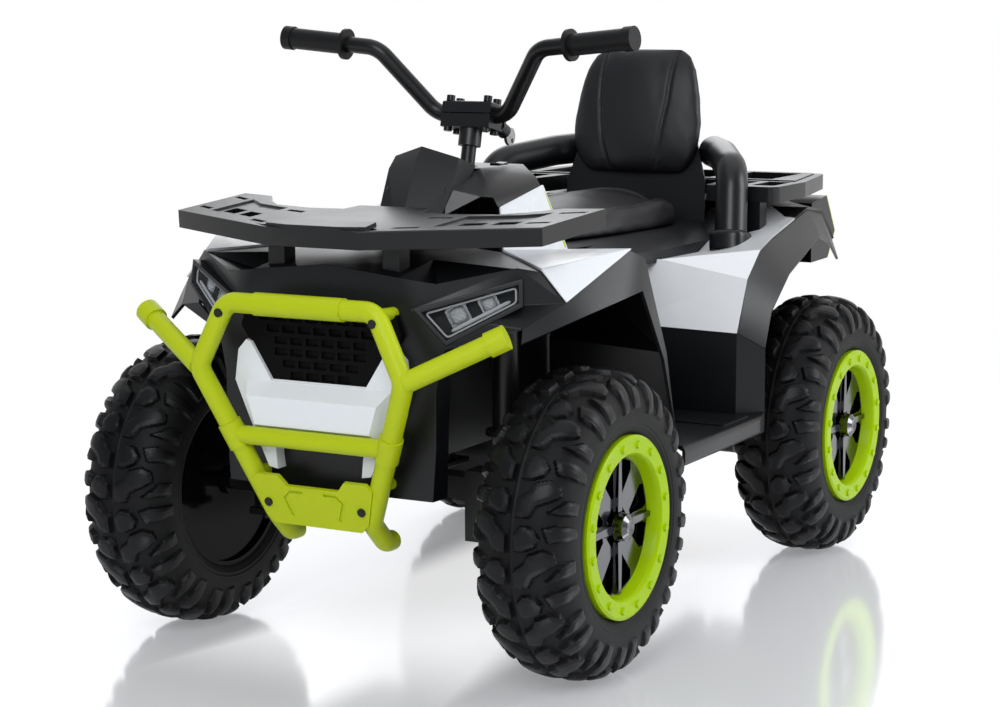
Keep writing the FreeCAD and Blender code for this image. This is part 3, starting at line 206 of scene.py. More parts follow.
def shaded(colour, share):
    """A colour with its light multiplied by a share, and no brighter than white."""
    return (*[min(1.0, c * share) for c in colour[:3]], 1.0)


print("finish helpers ready")

# %% [markdown]
# Moulded plastic
#
# Almost all of the bike is injection-moulded plastic. Its black skin is etched with a fine grain that
# scatters light, and handling polishes it unevenly. One function makes every such finish: bumps about half
# a millimetre across, broad cloudy changes in gloss, and a slight change of shade.

# %% Moulded plastic
bump_depth = 0.0004
cloud_gloss, grain_gloss = 0.08, 0.08
coat_rough = 0.08


def moulded(name, colour, rough, grain=0.1, grain_size=0.0006, shade=0.12, coat=0.0, shine=0.5):
    """Plastic with an etched grain: bump from fine noise, gloss and shade from broad noise."""
    material, shader, start = finish_named(name)
    fine = start.noise(scale=1.0 / grain_size, detail=2.0)
    broad = start.noise(scale=9.0, detail=4.0, roughness=0.6)
    start.feed(shader, {
        "Base Color": broad.mix(shaded(colour, 1.0 - shade), shaded(colour, 1.0 + shade)),
        "Roughness": broad.between(rough - cloud_gloss, rough + cloud_gloss) + (fine - 0.5) * grain_gloss,
        "Normal": fine.bump(grain, bump_depth),
        "Specular IOR Level": shine,
        "Coat Weight": coat,
        "Coat Roughness": coat_rough,
    })
    return material


black_shell = moulded("black_shell", rgb(11, 12, 15), 0.37, grain=0.16, shine=0.38)
black_gloss = moulded("black_gloss", rgb(13, 14, 17), 0.34, grain=0.05, shine=0.46)
black_dull = moulded("black_dull", rgb(8, 8, 9), 0.55, grain=0.2, shine=0.08)
grey_satin = moulded("grey_satin", rgb(20, 21, 24), 0.4, grain=0.08, shine=0.3)
white_gloss = moulded("white_gloss", rgb(230, 232, 236), 0.26, grain=0.02, shade=0.015, coat=0.1,
                      shine=0.35)
lime_satin = moulded("lime_satin", rgb(180, 196, 18), 0.4, grain=0.05, shade=0.03, shine=0.25)
lime_ring = moulded("lime_ring", rgb(162, 196, 0), 0.28, grain=0.02, shade=0.05, shine=0.12)
black_metal = moulded("black_metal", rgb(15, 15, 16), 0.34, grain=0.06, grain_size=0.0012, shine=0.34)
grip_rubber = moulded("grip_rubber", rgb(13, 13, 14), 0.5, grain=0.3, grain_size=0.0009, shine=0.28)
# Near-white paint stands in for the glint of chrome on the lamp lines, the lamp bar and the pressed lamps: a
# painted reflection.
painted_chrome_glint = moulded("painted_chrome_glint", rgb(222, 225, 229), 0.3, grain=0.02, shade=0.03)
print("plastic finishes ready")

# %% Two colours on the rear side covers
corner_edge = 0.537
cover_coat = 0.2


def two_tone(name, colour, corner):
    """A cover with its rear corner in another colour, where distance out plus back passes an edge."""
    material = moulded(name, colour, 0.26, grain=0.02, shade=0.015, coat=cover_coat, shine=0.3)
    shader, start = opened(material)
    place = start.place()
    behind = abs(place.axis("X")) + place.axis("Y") > corner_edge
    start.feed(shader, {
        "Base Color": behind.mix(start.feeding(shader, "Base Color"), corner),
        "Coat Weight": behind.between(cover_coat, 0.0),
    })
    return material


white_black = two_tone("white_black", rgb(236, 237, 239), rgb(14, 14, 16))
print("two-coloured cover ready")

# %% [markdown]
# Bright metal and lamp covers
#
# The wheel discs are plated a dark mirror, the lamp bowls a bright one. Plating over plastic is never quite
# even, so its gloss drifts. The lamp cover is smoked and very smooth.

# %% Metal and lamp finishes
def plated(name, colour, rough, drift=0.06, ripple_depth=0.03):
    """Plating: full metal with a slow drift in gloss and a faint ripple."""
    material, shader, start = finish_named(name)
    broad = start.noise(scale=24.0, detail=5.0)
    ripple = start.noise(scale=140.0, detail=1.0)
    start.feed(shader, {
        "Base Color": broad.mix(shaded(colour, 0.8), colour),
        "Roughness": broad.between(rough - drift, rough + drift),
        "Normal": ripple.bump(ripple_depth, bump_depth),
        "Metallic": 1.0,
    })
    return material


def smoked(name, colour, alpha):
    """A smoked cover: smooth, dark and partly see-through, with a faint haze in its gloss."""
    material, shader, start = finish_named(name)
    haze = start.noise(scale=30.0, detail=3.0)
    start.feed(shader, {
        "Base Color": haze.mix(colour, shaded(colour, 1.2)),
        "Roughness": haze.between(0.02, 0.07),
        "Alpha": alpha,
        "Coat Weight": 0.5,
    })
    return material


bright_plating = plated("bright_plating", rgb(226, 229, 232), 0.22, drift=0.03, ripple_depth=0.01)
zinc = plated("zinc", rgb(176, 176, 178), 0.34)
lamp_cover = smoked("lamp_cover", rgb(12, 13, 15), 0.2)
print("metal and lamp finishes ready")

# %% Wheel discs plated on the outside only
disc_black_to, disc_plated_from = 0.2925, 0.2945


def wheel_disc(name, plating, inner):
    """Plating on the outer face of a wheel's disc: nearer to the bike's middle a mask turns it black."""
    material = plated(name, plating, 0.13, drift=0.05, ripple_depth=0.12)
    shader, start = opened(material)
    face = abs(start.place().axis("X")).climb(disc_black_to, disc_plated_from)
    start.feed(shader, {
        "Base Color": face.mix(inner, start.feeding(shader, "Base Color")),
        "Metallic": face,
        "Specular IOR Level": 0.08,
    })
    return material


dark_plating = wheel_disc("dark_plating", rgb(112, 112, 115), rgb(6, 6, 7))
print("wheel finish ready")

# %% [markdown]
# Rounding the solid pieces
#
# A solid model has knife edges, and no moulded piece does. Changing its meshes would break the shared
# frame, so modifiers do the work: merge the loose triangles, round every edge sharper than a limit, and
# shade the rest smooth.

# %% Rounded edges on the solids
edge_limit = math.radians(32.0)
merge_gap = 0.00002


def smooth_group():
    """A small geometry graph that merges loose triangles and shades smooth below the limit angle."""
    group = bpy.data.node_groups.new("merge_and_smooth", "GeometryNodeTree")
    group.interface.new_socket("Geometry", in_out="INPUT", socket_type="NodeSocketGeometry")
    group.interface.new_socket("Geometry", in_out="OUTPUT", socket_type="NodeSocketGeometry")
    start = group.nodes.new("NodeGroupInput")
    end = group.nodes.new("NodeGroupOutput")
    clean = group.nodes.new("GeometryNodeRemoveAttribute")
    clean.inputs["Name"].default_value = "custom_normal"
    merge = group.nodes.new("GeometryNodeMergeByDistance")
    merge.inputs["Distance"].default_value = merge_gap
    faces = group.nodes.new("GeometryNodeSetShadeSmooth")
    faces.inputs["Shade Smooth"].default_value = True
    edges = group.nodes.new("GeometryNodeSetShadeSmooth")
    edges.domain = "EDGE"
    angle = group.nodes.new("GeometryNodeInputMeshEdgeAngle")
    below = group.nodes.new("FunctionNodeCompare")
    below.operation = "LESS_THAN"
    below.inputs[1].default_value = edge_limit
    link = group.links.new
    link(start.outputs[0], clean.inputs["Geometry"])
    link(clean.outputs[0], merge.inputs["Geometry"])
    link(merge.outputs[0], faces.inputs["Geometry"])
    link(faces.outputs[0], edges.inputs["Geometry"])
    link(angle.outputs[0], below.inputs[0])
    link(below.outputs[0], edges.inputs["Shade Smooth"])
    link(edges.outputs[0], end.inputs[0])
    return group


merge_and_smooth = smooth_group()


def dress(names, material, round_mm, segments=3):
    """Gives solid pieces a finish, rounded edges and smooth shading."""
    for name in names.split():
        piece = nodes[name]
        piece.data.materials.clear()
        piece.data.materials.append(material)
        merged = piece.modifiers.new("merge", "NODES")
        merged.node_group = merge_and_smooth
        rounded = piece.modifiers.new("round", "BEVEL")
        rounded.width = round_mm / 1000.0
        rounded.segments = segments
        rounded.limit_method = "ANGLE"
        rounded.angle_limit = edge_limit
        rounded.use_clamp_overlap = True
        rounded.harden_normals = True
    print("dressed", names)


print("edges rounded above", round(math.degrees(edge_limit)), "degrees")

# %% Dressing the solids
places = ("front_left", "front_right", "rear_left", "rear_right")
dress(" ".join("rim_" + p for p in places), dark_plating, 0.8, 2)
dress(" ".join("bead_ring_" + p for p in places), lime_ring, 0.8, 2)
dress("front_fenders nose_shell steering_cowl dash_console", black_shell, 1.6)
dress("rear_deck rear_fender_trims tail_box", black_shell, 1.6)
dress("lower_body headlight_housings", black_shell, 1.0, 2)
dress("grille", black_dull, 0.8, 2)
dress("front_rack rear_rack rack_posts", black_shell, 1.6)
dress("seat_shell", grey_satin, 1.6)
dress("hood_cover nose_bumper", white_gloss, 1.2)
dress("rear_side_covers", white_black, 1.2)
dress("bull_bar_hoop bull_bar_crossbar skid_plate tail_trim", lime_satin, 1.2)
dress("armrests clamp_base clamp_cap ignition_lock direction_switch throttle_pedal", black_gloss, 1.2)
dress("handlebar steering_column chassis_frame strut_covers", black_metal, 0.8, 2)
dress("knuckle_left knuckle_right tie_rod", black_metal, 0.8, 2)
dress("drive_units battery", black_shell, 1.0, 2)
dress("grip_left grip_right", grip_rubber, 0.8, 2)
dress("bull_bar_screws clamp_bolts", black_metal, 0.3, 1)
dress("rear_axle ignition_key", zinc, 0.3, 1)
dress("start_button", lime_satin, 0.5, 2)
dress("headlight_lenses", lamp_cover, 0.5, 2)
dress("headlight_reflectors", bright_plating, 0.5, 2)

# %% [markdown]
# Surfaces from arrays
#
# A new piece is a sheet of points: two parameters run along its rows and columns, and whole arrays give
# every point at once. One helper turns such a sheet into a mesh, closing it on itself where a parameter
# goes all the way round.

# %% A sheet of points becomes a mesh
def sheet_mesh(name, points, around=True, along=True, inside_out=False):
    """A mesh over points[i, j].

    Quads join neighbours, and the last row or column meets the first where the sheet closes.
    """
    rows, columns = points.shape[:2]
    index = np.arange(rows * columns).reshape(rows, columns)
    if around:
        index = np.vstack([index, index[:1]])
    if along:
        index = np.hstack([index, index[:, :1]])
    quads = np.stack([index[:-1, :-1], index[1:, :-1], index[1:, 1:], index[:-1, 1:]], -1).reshape(-1, 4)
    if inside_out:
        quads = quads[:, ::-1]
    mesh = bpy.data.meshes.new(name)
    mesh.vertices.add(rows * columns)
    mesh.vertices.foreach_set("co", points.reshape(-1).astype(np.float32))
    mesh.loops.add(quads.size)
    mesh.loops.foreach_set("vertex_index", quads.reshape(-1).astype(np.int32))
    mesh.polygons.add(len(quads))
    mesh.polygons.foreach_set("loop_start", (np.arange(len(quads)) * 4).astype(np.int32))
    mesh.update(calc_edges=True)
    mesh.polygons.foreach_set("use_smooth", np.ones(len(quads), bool))
    mesh.validate()
    piece = bpy.data.objects.new(name, mesh)
    scene.collection.objects.link(piece)
    return piece


def put_on(piece, body, material, slot, *replaced):
    """Gives a new piece its finish, the body that carries it and the solids it stands for. The slot is not
    used.
    """
    piece.data.materials.clear()
    piece.data.materials.append(material)
    if replaced:
        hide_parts(*replaced)
    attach(piece, body)
    print(piece.name, "faces:", len(piece.data.polygons))


def smoothstep(low, high, value):
    """0 below low, 1 above high, and an even S between."""
    share = np.clip((value - low) / (high - low), 0.0, 1.0)
    return share * share * (3.0 - 2.0 * share)


print("sheet helpers ready")

# %% [markdown]
# Tyre skin
#
# Lug tops are rubbed smooth and the floor between the lugs stays dull. The tread stores its rise at every
# point, and this finish reads it to change gloss from floor to top and to paint shade: the floor is painted
# darker than the tops, and the lug walls, half-way up, darkest, where shadow falls.

# %% Tyre finish
# Weights of the painted shade that follows the rise, of the random clouds, and of the painted shade on the
# lug walls.
rise_weight, cloud_weight, wall_shade_weight, top_offset = 0.85, 0.3, 0.5, 0.1


def tread_skin(name, floor, top):
    """Rubber-like plastic: gloss follows the stored rise over a fine grain, and painted shade darkens the
    floor and the lug walls.
    """
    material, shader, start = finish_named(name)
    rise = start.node("Attribute", {"attribute_name": "rise"}, output="Fac")
    fine = start.noise(scale=900.0, detail=2.0)
    broad = start.noise(scale=26.0, detail=4.0)
    # Painted shade: the lug walls are darkest half-way up, and the floor between the lugs is darker than the
    # tops.
    wall_shade = rise * (1.0 - rise) * 4.0
    unshaded_share = rise * rise_weight + broad * cloud_weight - top_offset - wall_shade * wall_shade_weight
    start.feed(shader, {
        "Base Color": unshaded_share.mix(floor, top),
        "Roughness": (1.0 - rise) * 0.2 + broad.between(0.34, 0.46),
        "Normal": fine.bump(0.14, bump_depth),
        "Specular IOR Level": 0.24,
    })
    return material


# The first colour is the painted shade of the floor between the lugs, the second the lug tops.
tyre_black = tread_skin("tyre_black", rgb(5, 5, 6), rgb(15, 15, 17))
print("tyre finish ready")

# %% [markdown]
# Tyres
#
# The tyres are blown plastic with tall lugs in an arrow pattern, the two halves half a pitch apart. Each
# lug could be a block of its own, but the real tread is one skin that rises and falls. So the tyre is a
# ring of sections, and each point is pushed out along the section's normal by how far it lies inside the
# outline of a lug.

# %% Tread outlines
# An outline's points are a share of a pitch along the tread, and millimetres across it from the middle.
pitch_count = 14
tread_radius_mm = 175.0
pitch_mm = 2.0 * math.pi * tread_radius_mm / pitch_count
lug_outlines = [
    [(-0.48, 4), (-0.22, 4), (-0.10, 16), (0.02, 20), (0.10, 36), (0.04, 47), (-0.10, 50), (-0.20, 40),
     (-0.30, 26), (-0.46, 20)],
    [(0.06, 5), (0.30, 4), (0.42, 12), (0.40, 24), (0.26, 32), (0.14, 28), (0.06, 16)],
    [(0.20, 40), (0.40, 34), (0.46, 46), (0.44, 76), (0.24, 78)],
    [(-0.38, 36), (-0.26, 48), (-0.14, 56), (-0.12, 74), (-0.36, 74)],
]
lug_outlines = [np.array(outline) * (pitch_mm, 1.0) for outline in lug_outlines]
block_share, panel_share = 0.88, 0.12
wall_from_mm, wall_to_mm = -0.8, 1.0
panel_from_mm, panel_to_mm = 3.4, 4.8


def depth_inside(points, outline):
    """Distance to the nearest edge of a closed outline, positive inside it by the even-odd rule."""
    start, end = outline, np.roll(outline, -1, axis=0)
    edge = end - start
    away = points[..., None, :] - start
    share = np.clip((away * edge).sum(-1) / (edge ** 2).sum(-1), 0.0, 1.0)
    gap = np.linalg.norm(away - share[..., None] * edge, axis=-1).min(-1)
    height = points[..., None, 1]
    slope = np.where(np.abs(edge[:, 1]) < 1e-9, 1e-9, edge[:, 1])
    crossing = start[:, 0] + (height - start[:, 1]) * edge[:, 0] / slope
    passes = ((start[:, 1] > height) != (end[:, 1] > height)) & (points[..., None, 0] < crossing)
    return np.where(passes.sum(-1) % 2 == 1, gap, -gap)


def lug_share_at(along, across):
    """Rise as a share of a full lug: a steep wall round each outline, and a raised panel inside."""
    deepest = np.full(along.shape, -1e3)
    for outline in lug_outlines:
        for shift in (-1, 0, 1):
            points = np.stack([along + shift * pitch_mm, across], -1)
            deepest = np.maximum(deepest, depth_inside(points, outline))
    block = block_share * smoothstep(wall_from_mm, wall_to_mm, deepest)
    return block + panel_share * smoothstep(panel_from_mm, panel_to_mm, deepest)


print("tread outlines:", len(lug_outlines), "per pitch and side")

# %% Tyre sections
# Half of a section, in millimetres: place across from the middle, and radius.
half_section = np.array([
    (0, 168.4), (13, 167.9), (25.8, 165.8), (36.6, 161.6), (44.8, 155.4), (51.0, 147.2),
    (54.9, 137.6), (56.6, 127.2), (56.2, 117), (53.9, 109), (51.2, 105), (49.8, 103.3),
]) / 1000.0
largest_radius = 0.1748
lug_rise, seam_rise, rib_rise = 0.0064, 0.0009, 0.0005
seam_mm, rib_pitch_mm = 1.3, 5.0
lugs_end_mm, shoulder_mm, shoulder_loss = (77.0, 85.0), (50.0, 76.0), 0.5
ribs_start_mm, ribs_end_mm = (87.0, 89.0), (97.0, 99.0)
bore_steps = 4


def smooth_line(points, count):
    """Even points along a curve through given points: cubic pieces on the chord length, equal in slope."""
    steps = np.linalg.norm(np.diff(points, axis=0), axis=1)
    knots = np.concatenate([[0.0], np.cumsum(steps)])
    slopes = np.gradient(points, knots, axis=0)
    at = np.linspace(0.0, knots[-1], count)
    k = np.clip(np.searchsorted(knots, at, side="right") - 1, 0, len(points) - 2)
    span = (knots[k + 1] - knots[k])[:, None]
    t = (at[:, None] - knots[k][:, None]) / span
    return ((1 + 2 * t) * (1 - t) ** 2 * points[k] + t * (1 - t) ** 2 * span * slopes[k]
            + t * t * (3 - 2 * t) * points[k + 1] + t * t * (t - 1) * span * slopes[k + 1]), at


def tyre_points(steps_per_pitch=52, steps_across=65):
    """Ring of sections: radius and place across from the section, plus the rise along its normal."""
    line, run = smooth_line(half_section, steps_across)
    outer = np.vstack([line[:0:-1] * (-1.0, 1.0), line])
    across = np.concatenate([-run[:0:-1], run])
    tangent = np.gradient(outer, axis=0)
    tangent /= np.linalg.norm(tangent, axis=1)[:, None]
    normal = np.stack([-tangent[:, 1], tangent[:, 0]], -1)
    pitch = (np.arange(steps_per_pitch) / steps_per_pitch - 0.5) * pitch_mm
    along, over = np.meshgrid(pitch, np.abs(across) * 1000.0, indexing="ij")
    shifted = (along + pitch_mm) % pitch_mm - pitch_mm / 2
    share = np.where(across >= 0, lug_share_at(along, over), lug_share_at(shifted, over))
    share *= 1.0 - smoothstep(*lugs_end_mm, over)
    shoulder = 1.0 - shoulder_loss * smoothstep(*shoulder_mm, over)
    seam = seam_rise * np.exp(-(over / seam_mm) ** 2)
    ribs = rib_rise * np.cos(over * 2 * math.pi / rib_pitch_mm)
    ribs = ribs * smoothstep(*ribs_start_mm, over) * (1 - smoothstep(*ribs_end_mm, over))
    rise = np.tile(share * shoulder * lug_rise + seam + ribs, (pitch_count, 1))
    share = np.tile(share, (pitch_count, 1))
    angle = np.arange(len(rise)) / len(rise) * 2.0 * math.pi
    bore = np.linspace(outer[-1, 0], outer[0, 0], bore_steps + 2)[1:-1]
    bore_shape = (len(rise), bore_steps)
    x = np.hstack([outer[:, 0] + rise * normal[:, 0], np.broadcast_to(bore, bore_shape)])
    radius = np.minimum(outer[:, 1] + rise * normal[:, 1], largest_radius)
    radius = np.hstack([radius, np.full(bore_shape, outer[0, 1])])
    share = np.hstack([share, np.zeros(bore_shape)])
    return np.stack([x, radius * np.sin(angle)[:, None], radius * np.cos(angle)[:, None]], -1), share


tyre, tyre_rise = tyre_points()
print("tyre sections and points in each:", tyre.shape[:2])

# %% The four tyres
wheel_x, axle_z = 0.264, 0.175
axle_y = {"front": -0.35775, "rear": 0.33225}
lug_edge_limit = math.radians(34.0)
for place in places:
    side = 1.0 if place.endswith("left") else -1.0
    centre = (side * wheel_x, axle_y[place.split("_")[0]], axle_z)
    piece = sheet_mesh("tread_" + place, tyre * (side, 1.0, 1.0) + centre, inside_out=side > 0)
    piece.data.set_sharp_from_angle(angle=lug_edge_limit)
    stored = piece.data.attributes.new("rise", "FLOAT", "POINT")
    stored.data.foreach_set("value", tyre_rise.reshape(-1).astype(np.float32))
    put_on(piece, "wheel_" + place, tyre_black, "tyre_black", "tyre_" + place)

# %% [markdown]
# Vinyl
#
# Seat and backrest are foam under a black vinyl skin. Vinyl is embossed with small uneven cells, so the
# bump is a cell pattern about a millimetre across, and the gloss is higher on the cells than in the lines
# between them.

# %% Vinyl finish
border_share = 0.22
cell_height, wobble_height, vinyl_depth = 0.7, 0.5, 0.0005


def vinyl(name, colour, rough, drift=0.06):
    """Embossed skin: a pattern of cells, with their borders lower and duller than their middles."""
    material, shader, start = finish_named(name)
    wobble = start.noise(scale=380.0, detail=2.0)
    broad = start.noise(scale=14.0, detail=4.0)
    from_edge = {"feature": "DISTANCE_TO_EDGE"}
    cells = start.node("TexVoronoi", from_edge, {"Vector": start.place(), "Scale": 900.0})
    middle = cells.climb(0.0, border_share)
    height = middle * cell_height + wobble * wobble_height
    start.feed(shader, {
        "Base Color": broad.mix(shaded(colour, 0.82), shaded(colour, 1.15)),
        "Roughness": (1.0 - middle) * 0.1 + broad.between(rough - drift, rough + drift),
        "Normal": height.bump(0.16, vinyl_depth),
        "Specular IOR Level": 0.42,
    })
    return material


seat_vinyl = vinyl("seat_vinyl", rgb(20, 20, 23), 0.4)
print("vinyl ready")

# %% [markdown]
# Seat and backrest pads
#
# Foam swells its cover between the seams. Instead of guessing that bulge, the pad's solid is drawn in a
# little, given an even skin of small faces and blown up by the cloth solver with air pressure and no
# gravity, its underside held. The sewn lines are narrower than those faces, so they are pressed in
# afterwards on a finer skin.

# %% Reading and setting a mesh's points
def shown_mesh(piece, name):
    """A new mesh of the piece with its modifiers worked in."""
    graph = bpy.context.evaluated_depsgraph_get()
    mesh = bpy.data.meshes.new_from_object(piece.evaluated_get(graph))
    mesh.name = name
    return mesh


def vectors_of(rows, what):
    """One vector of each row, as an array of three columns."""
    flat = np.zeros(len(rows) * 3, np.float32)
    rows.foreach_get(what, flat)
    return flat.reshape(-1, 3).astype(float)


def points_of(mesh):
    """The places of a mesh's points."""
    return vectors_of(mesh.vertices, "co")


def normals_of(mesh):
    """The normals at a mesh's points."""
    return vectors_of(mesh.vertex_normals, "vector")


def set_points(mesh, points):
    """Moves a mesh's points to new places."""
    mesh.vertices.foreach_set("co", points.reshape(-1).astype(np.float32))
    mesh.update()


print("point helpers ready")

# %% Blowing up a pad
air_pressure, air_steps = 4.0, 20
skin_voxel = 0.005
even_factor, even_rounds = 0.5, 14


def even_skin(name, node):
    """The solid's shape as one closed skin of even faces."""
    piece = bpy.data.objects.new(name, nodes[node].data.copy())
    scene.collection.objects.link(piece)
    weld = piece.modifiers.new("weld", "WELD")
    weld.merge_threshold = merge_gap
    skin = piece.modifiers.new("skin", "REMESH")
    skin.mode = "VOXEL"
    skin.voxel_size = skin_voxel
    mesh = shown_mesh(piece, name)
    piece.modifiers.clear()
    piece.data = mesh
    return piece


def blown_up(name, node, held, draw_in, cap):
    """Drawn in along its normals, blown up with the held points still, and moved by the cap at most."""
    piece = even_skin(name, node)
    mesh = piece.data
    solid = points_of(mesh)
    start = solid - normals_of(mesh) * draw_in * (1.0 - held(solid))[:, None]
    set_points(mesh, start)
    group = piece.vertex_groups.new(name="held")
    still = np.flatnonzero(held(solid) > 0.5)
    group.add([int(i) for i in still], 1.0, "REPLACE")
    cloth = piece.modifiers.new("air", "CLOTH")
    cloth.settings.use_pressure = True
    cloth.settings.uniform_pressure_force = air_pressure
    cloth.settings.vertex_group_mass = "held"
    cloth.settings.effector_weights.gravity = 0.0
    cloth.point_cache.frame_start, cloth.point_cache.frame_end = 1, air_steps
    for step in range(1, air_steps + 1):
        scene.frame_set(step)
    blown = points_of(shown_mesh(piece, name + "_blown"))
    move = blown - start
    size = np.linalg.norm(move, axis=1, keepdims=True)
    move *= np.minimum(1.0, cap / np.maximum(size, 1e-9))
    piece.modifiers.clear()
    scene.frame_set(1)
    set_points(mesh, start + move)
    print(name, "swelled by up to", round(float(size.max()) * 1000, 1), "mm")
    even = piece.modifiers.new("even", "SMOOTH")
    even.factor, even.iterations = even_factor, even_rounds
    fine = piece.modifiers.new("fine", "SUBSURF")
    fine.levels = fine.render_levels = 1
    piece.data = shown_mesh(piece, name)
    piece.modifiers.clear()
    piece.data.polygons.foreach_set("use_smooth", np.ones(len(piece.data.polygons), bool))
    return piece


print("pads are blown up in", air_steps, "steps")

# %% Backrest pad with its two sewn lines
back_low, back_high = (np.array(corner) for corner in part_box("back_pad"))
lean = 0.17
held_depth = 0.004
sewn_heights, sewn_places = [0.0, 0.25, 0.6, 1.0], [0.032, 0.043, 0.052, 0.055]
sewn_width, sewn_depth = 0.0026, 0.0028


def against_shell(points):
    """1 on the face of the pad that lies on the seat back, 0 elsewhere."""
    depth = points[:, 1] - (points[:, 2] - back_low[2]) * lean
    return (depth > depth.max() - held_depth).astype(float)


back_pad = blown_up("backrest_pad", "back_pad", against_shell, draw_in=0.004, cap=0.008)
points, normals = points_of(back_pad.data), normals_of(back_pad.data)
height_share = (points[:, 2] - back_low[2]) / (back_high[2] - back_low[2])
sewn_line = np.interp(height_share, sewn_heights, sewn_places)
facing = smoothstep(0.15, 0.5, -normals[:, 1])
groove = np.exp(-((np.abs(points[:, 0]) - sewn_line) / sewn_width) ** 2)
groove = groove * facing * smoothstep(0.02, 0.08, height_share)
set_points(back_pad.data, points - normals * (groove * sewn_depth)[:, None])
put_on(back_pad, "chassis", seat_vinyl, "seat_skin", "back_pad")

# %% Seat pad with its dished middle
# Stations along the seat, and its half widths there, are in millimetres from a little before the origin.
seat_low = np.array(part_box("seat_pad")[0])
station_shift_mm = 12.75
stations, half_widths = [-44, -28, 10, 110, 210, 262, 276], [50, 64, 80, 98, 106, 96, 80]
dish_from, dish_to, dish_depth = 0.020, 0.034, 0.008
welt_at, welt_width, welt_depth = 0.021, 0.0025, 0.0012


def on_deck(points):
    """1 on the underside of the seat pad, 0 elsewhere."""
    return (points[:, 2] < seat_low[2] + held_depth).astype(float)


seat_pad = blown_up("saddle_pad", "seat_pad", on_deck, draw_in=0.003, cap=0.007)
points, normals = points_of(seat_pad.data), normals_of(seat_pad.data)
station = points[:, 1] * 1000.0 + station_shift_mm
half_width = np.interp(station, stations, half_widths) / 1000.0
end_gap = np.minimum(station - stations[0], stations[-1] - station) / 1000.0
rim_gap = np.minimum(half_width - np.abs(points[:, 0]), end_gap)
upward = smoothstep(0.2, 0.6, normals[:, 2])
dish = smoothstep(dish_from, dish_to, rim_gap) * dish_depth
dish = dish + np.exp(-((rim_gap - welt_at) / welt_width) ** 2) * welt_depth
points[:, 2] -= dish * upward
set_points(seat_pad.data, points)
put_on(seat_pad, "chassis", seat_vinyl, "seat_skin", "seat_pad")

# %% [markdown]
# Small trim
#
# Lamp lines, the strip along the tank's edge and the collars under the arm tubes are thin, and a maker
# would mould each as a bar that follows an edge. So one function sweeps a rounded section along a path, and
# the paths come from the corners of the faces they lie on. The lamps themselves are pressed squares with a
# pattern of small cushions.

# %% A bar along a path
section_steps = 16
end_power, end_least = 16, 0.002


def unit(vector):
    """A vector, or each row of vectors, divided by its length."""
    return vector / np.linalg.norm(vector, axis=-1, keepdims=True)


def full_turn(count):
    """Angles that go once round, along the second axis of a sheet."""
    return np.linspace(0.0, 2.0 * math.pi, count, endpoint=False)[None, :, None]


def swept(path, normal, half_height, half_width, closed=False):
    """Points of a bar with blunt ends: ellipses on the path, cos along the normal and sin across."""
    ahead = np.roll(path, -1, 0) - np.roll(path, 1, 0) if closed else np.gradient(path, axis=0)
    across = unit(np.cross(normal, unit(ahead)))
    run = np.linspace(-1.0, 1.0, len(path))
    size = np.ones(len(path)) if closed else np.sqrt(np.maximum(1.0 - run ** end_power, end_least))
    turn = full_turn(section_steps)
    section = half_height * np.cos(turn) * normal + half_width * np.sin(turn) * across[:, None, :]
    return path[:, None, :] + size[:, None, None] * section


def rounded_loop(corners, margin, bend, steps=8):
    """A path inside a flat outline at a margin, with each corner a quadratic bend."""
    to_last, to_next = unit(np.roll(corners, 1, 0) - corners), unit(np.roll(corners, -1, 0) - corners)
    sine = np.linalg.norm(np.cross(to_last, to_next), axis=1, keepdims=True)
    inner = corners + (to_last + to_next) * margin / sine
    t = np.linspace(0.0, 1.0, steps)[None, :, None]
    first, last = (inner + to_last * bend)[:, None], (inner + to_next * bend)[:, None]
    return ((1 - t) ** 2 * first + 2 * t * (1 - t) * inner[:, None] + t * t * last).reshape(-1, 3)


def straight(first, last, from_share, to_share, count=40):
    """Points along a straight edge, from one share of its length to another."""
    return first + (last - first) * np.linspace(from_share, to_share, count)[:, None]


def on_both_sides(name, points, material, slot, around=False, along=True):
    """The same piece on the left and, mirrored, on the right."""
    for side, word in ((1.0, "left"), (-1.0, "right")):
        piece = sheet_mesh(name + "_" + word, points * (side, 1.0, 1.0), around, along, inside_out=side < 0)
        put_on(piece, "chassis", material, slot)


print("trim helpers ready")

# %% Line and lower bar behind the headlight cover
cover = np.array([
    (125.8, -473.0, 415.9), (152.2, -464.5, 385.7), (218.3, -423.6, 424.7), (216.7, -421.0, 445.0),
]) / 1000.0
cover_out = unit(np.array([0.455, -0.878, 0.149]))
line_behind, line_margin, line_bend = 0.0044, 0.0024, 0.004
bar_behind, bar_above = 0.0052, 0.0066

loop = rounded_loop(cover - cover_out * line_behind, line_margin, line_bend)
lamp_line = swept(loop, cover_out, 0.0009, 0.0012, closed=True)
# The chrome line, the bar and the pressed lamps are drawn in near-white paint, a painted reflection.
on_both_sides("lamp_line", lamp_line, painted_chrome_glint, "bright_chrome", around=True)

lower = unit(cover[2] - cover[1])
lamp_up = np.cross(cover_out, lower)
rising = lamp_up * np.sign(lamp_up[2])
bar = straight(cover[1], cover[2], 0.1, 0.93) + rising * bar_above - cover_out * bar_behind
on_both_sides("lamp_bar", swept(bar, cover_out, 0.0014, 0.0021), painted_chrome_glint, "bright_chrome")

# %% Pressed lamps
# A lamp's centre is in millimetres, and its half width follows it.
lamps = {"inner": ((153.9, -440.5, 410.2), 0.0093), "outer": ((182.7, -423.7, 422.2), 0.0078)}
lamp_stand, lamp_swell, cushion_rise, barrel = 0.0042, 0.006, 0.0007, 0.3

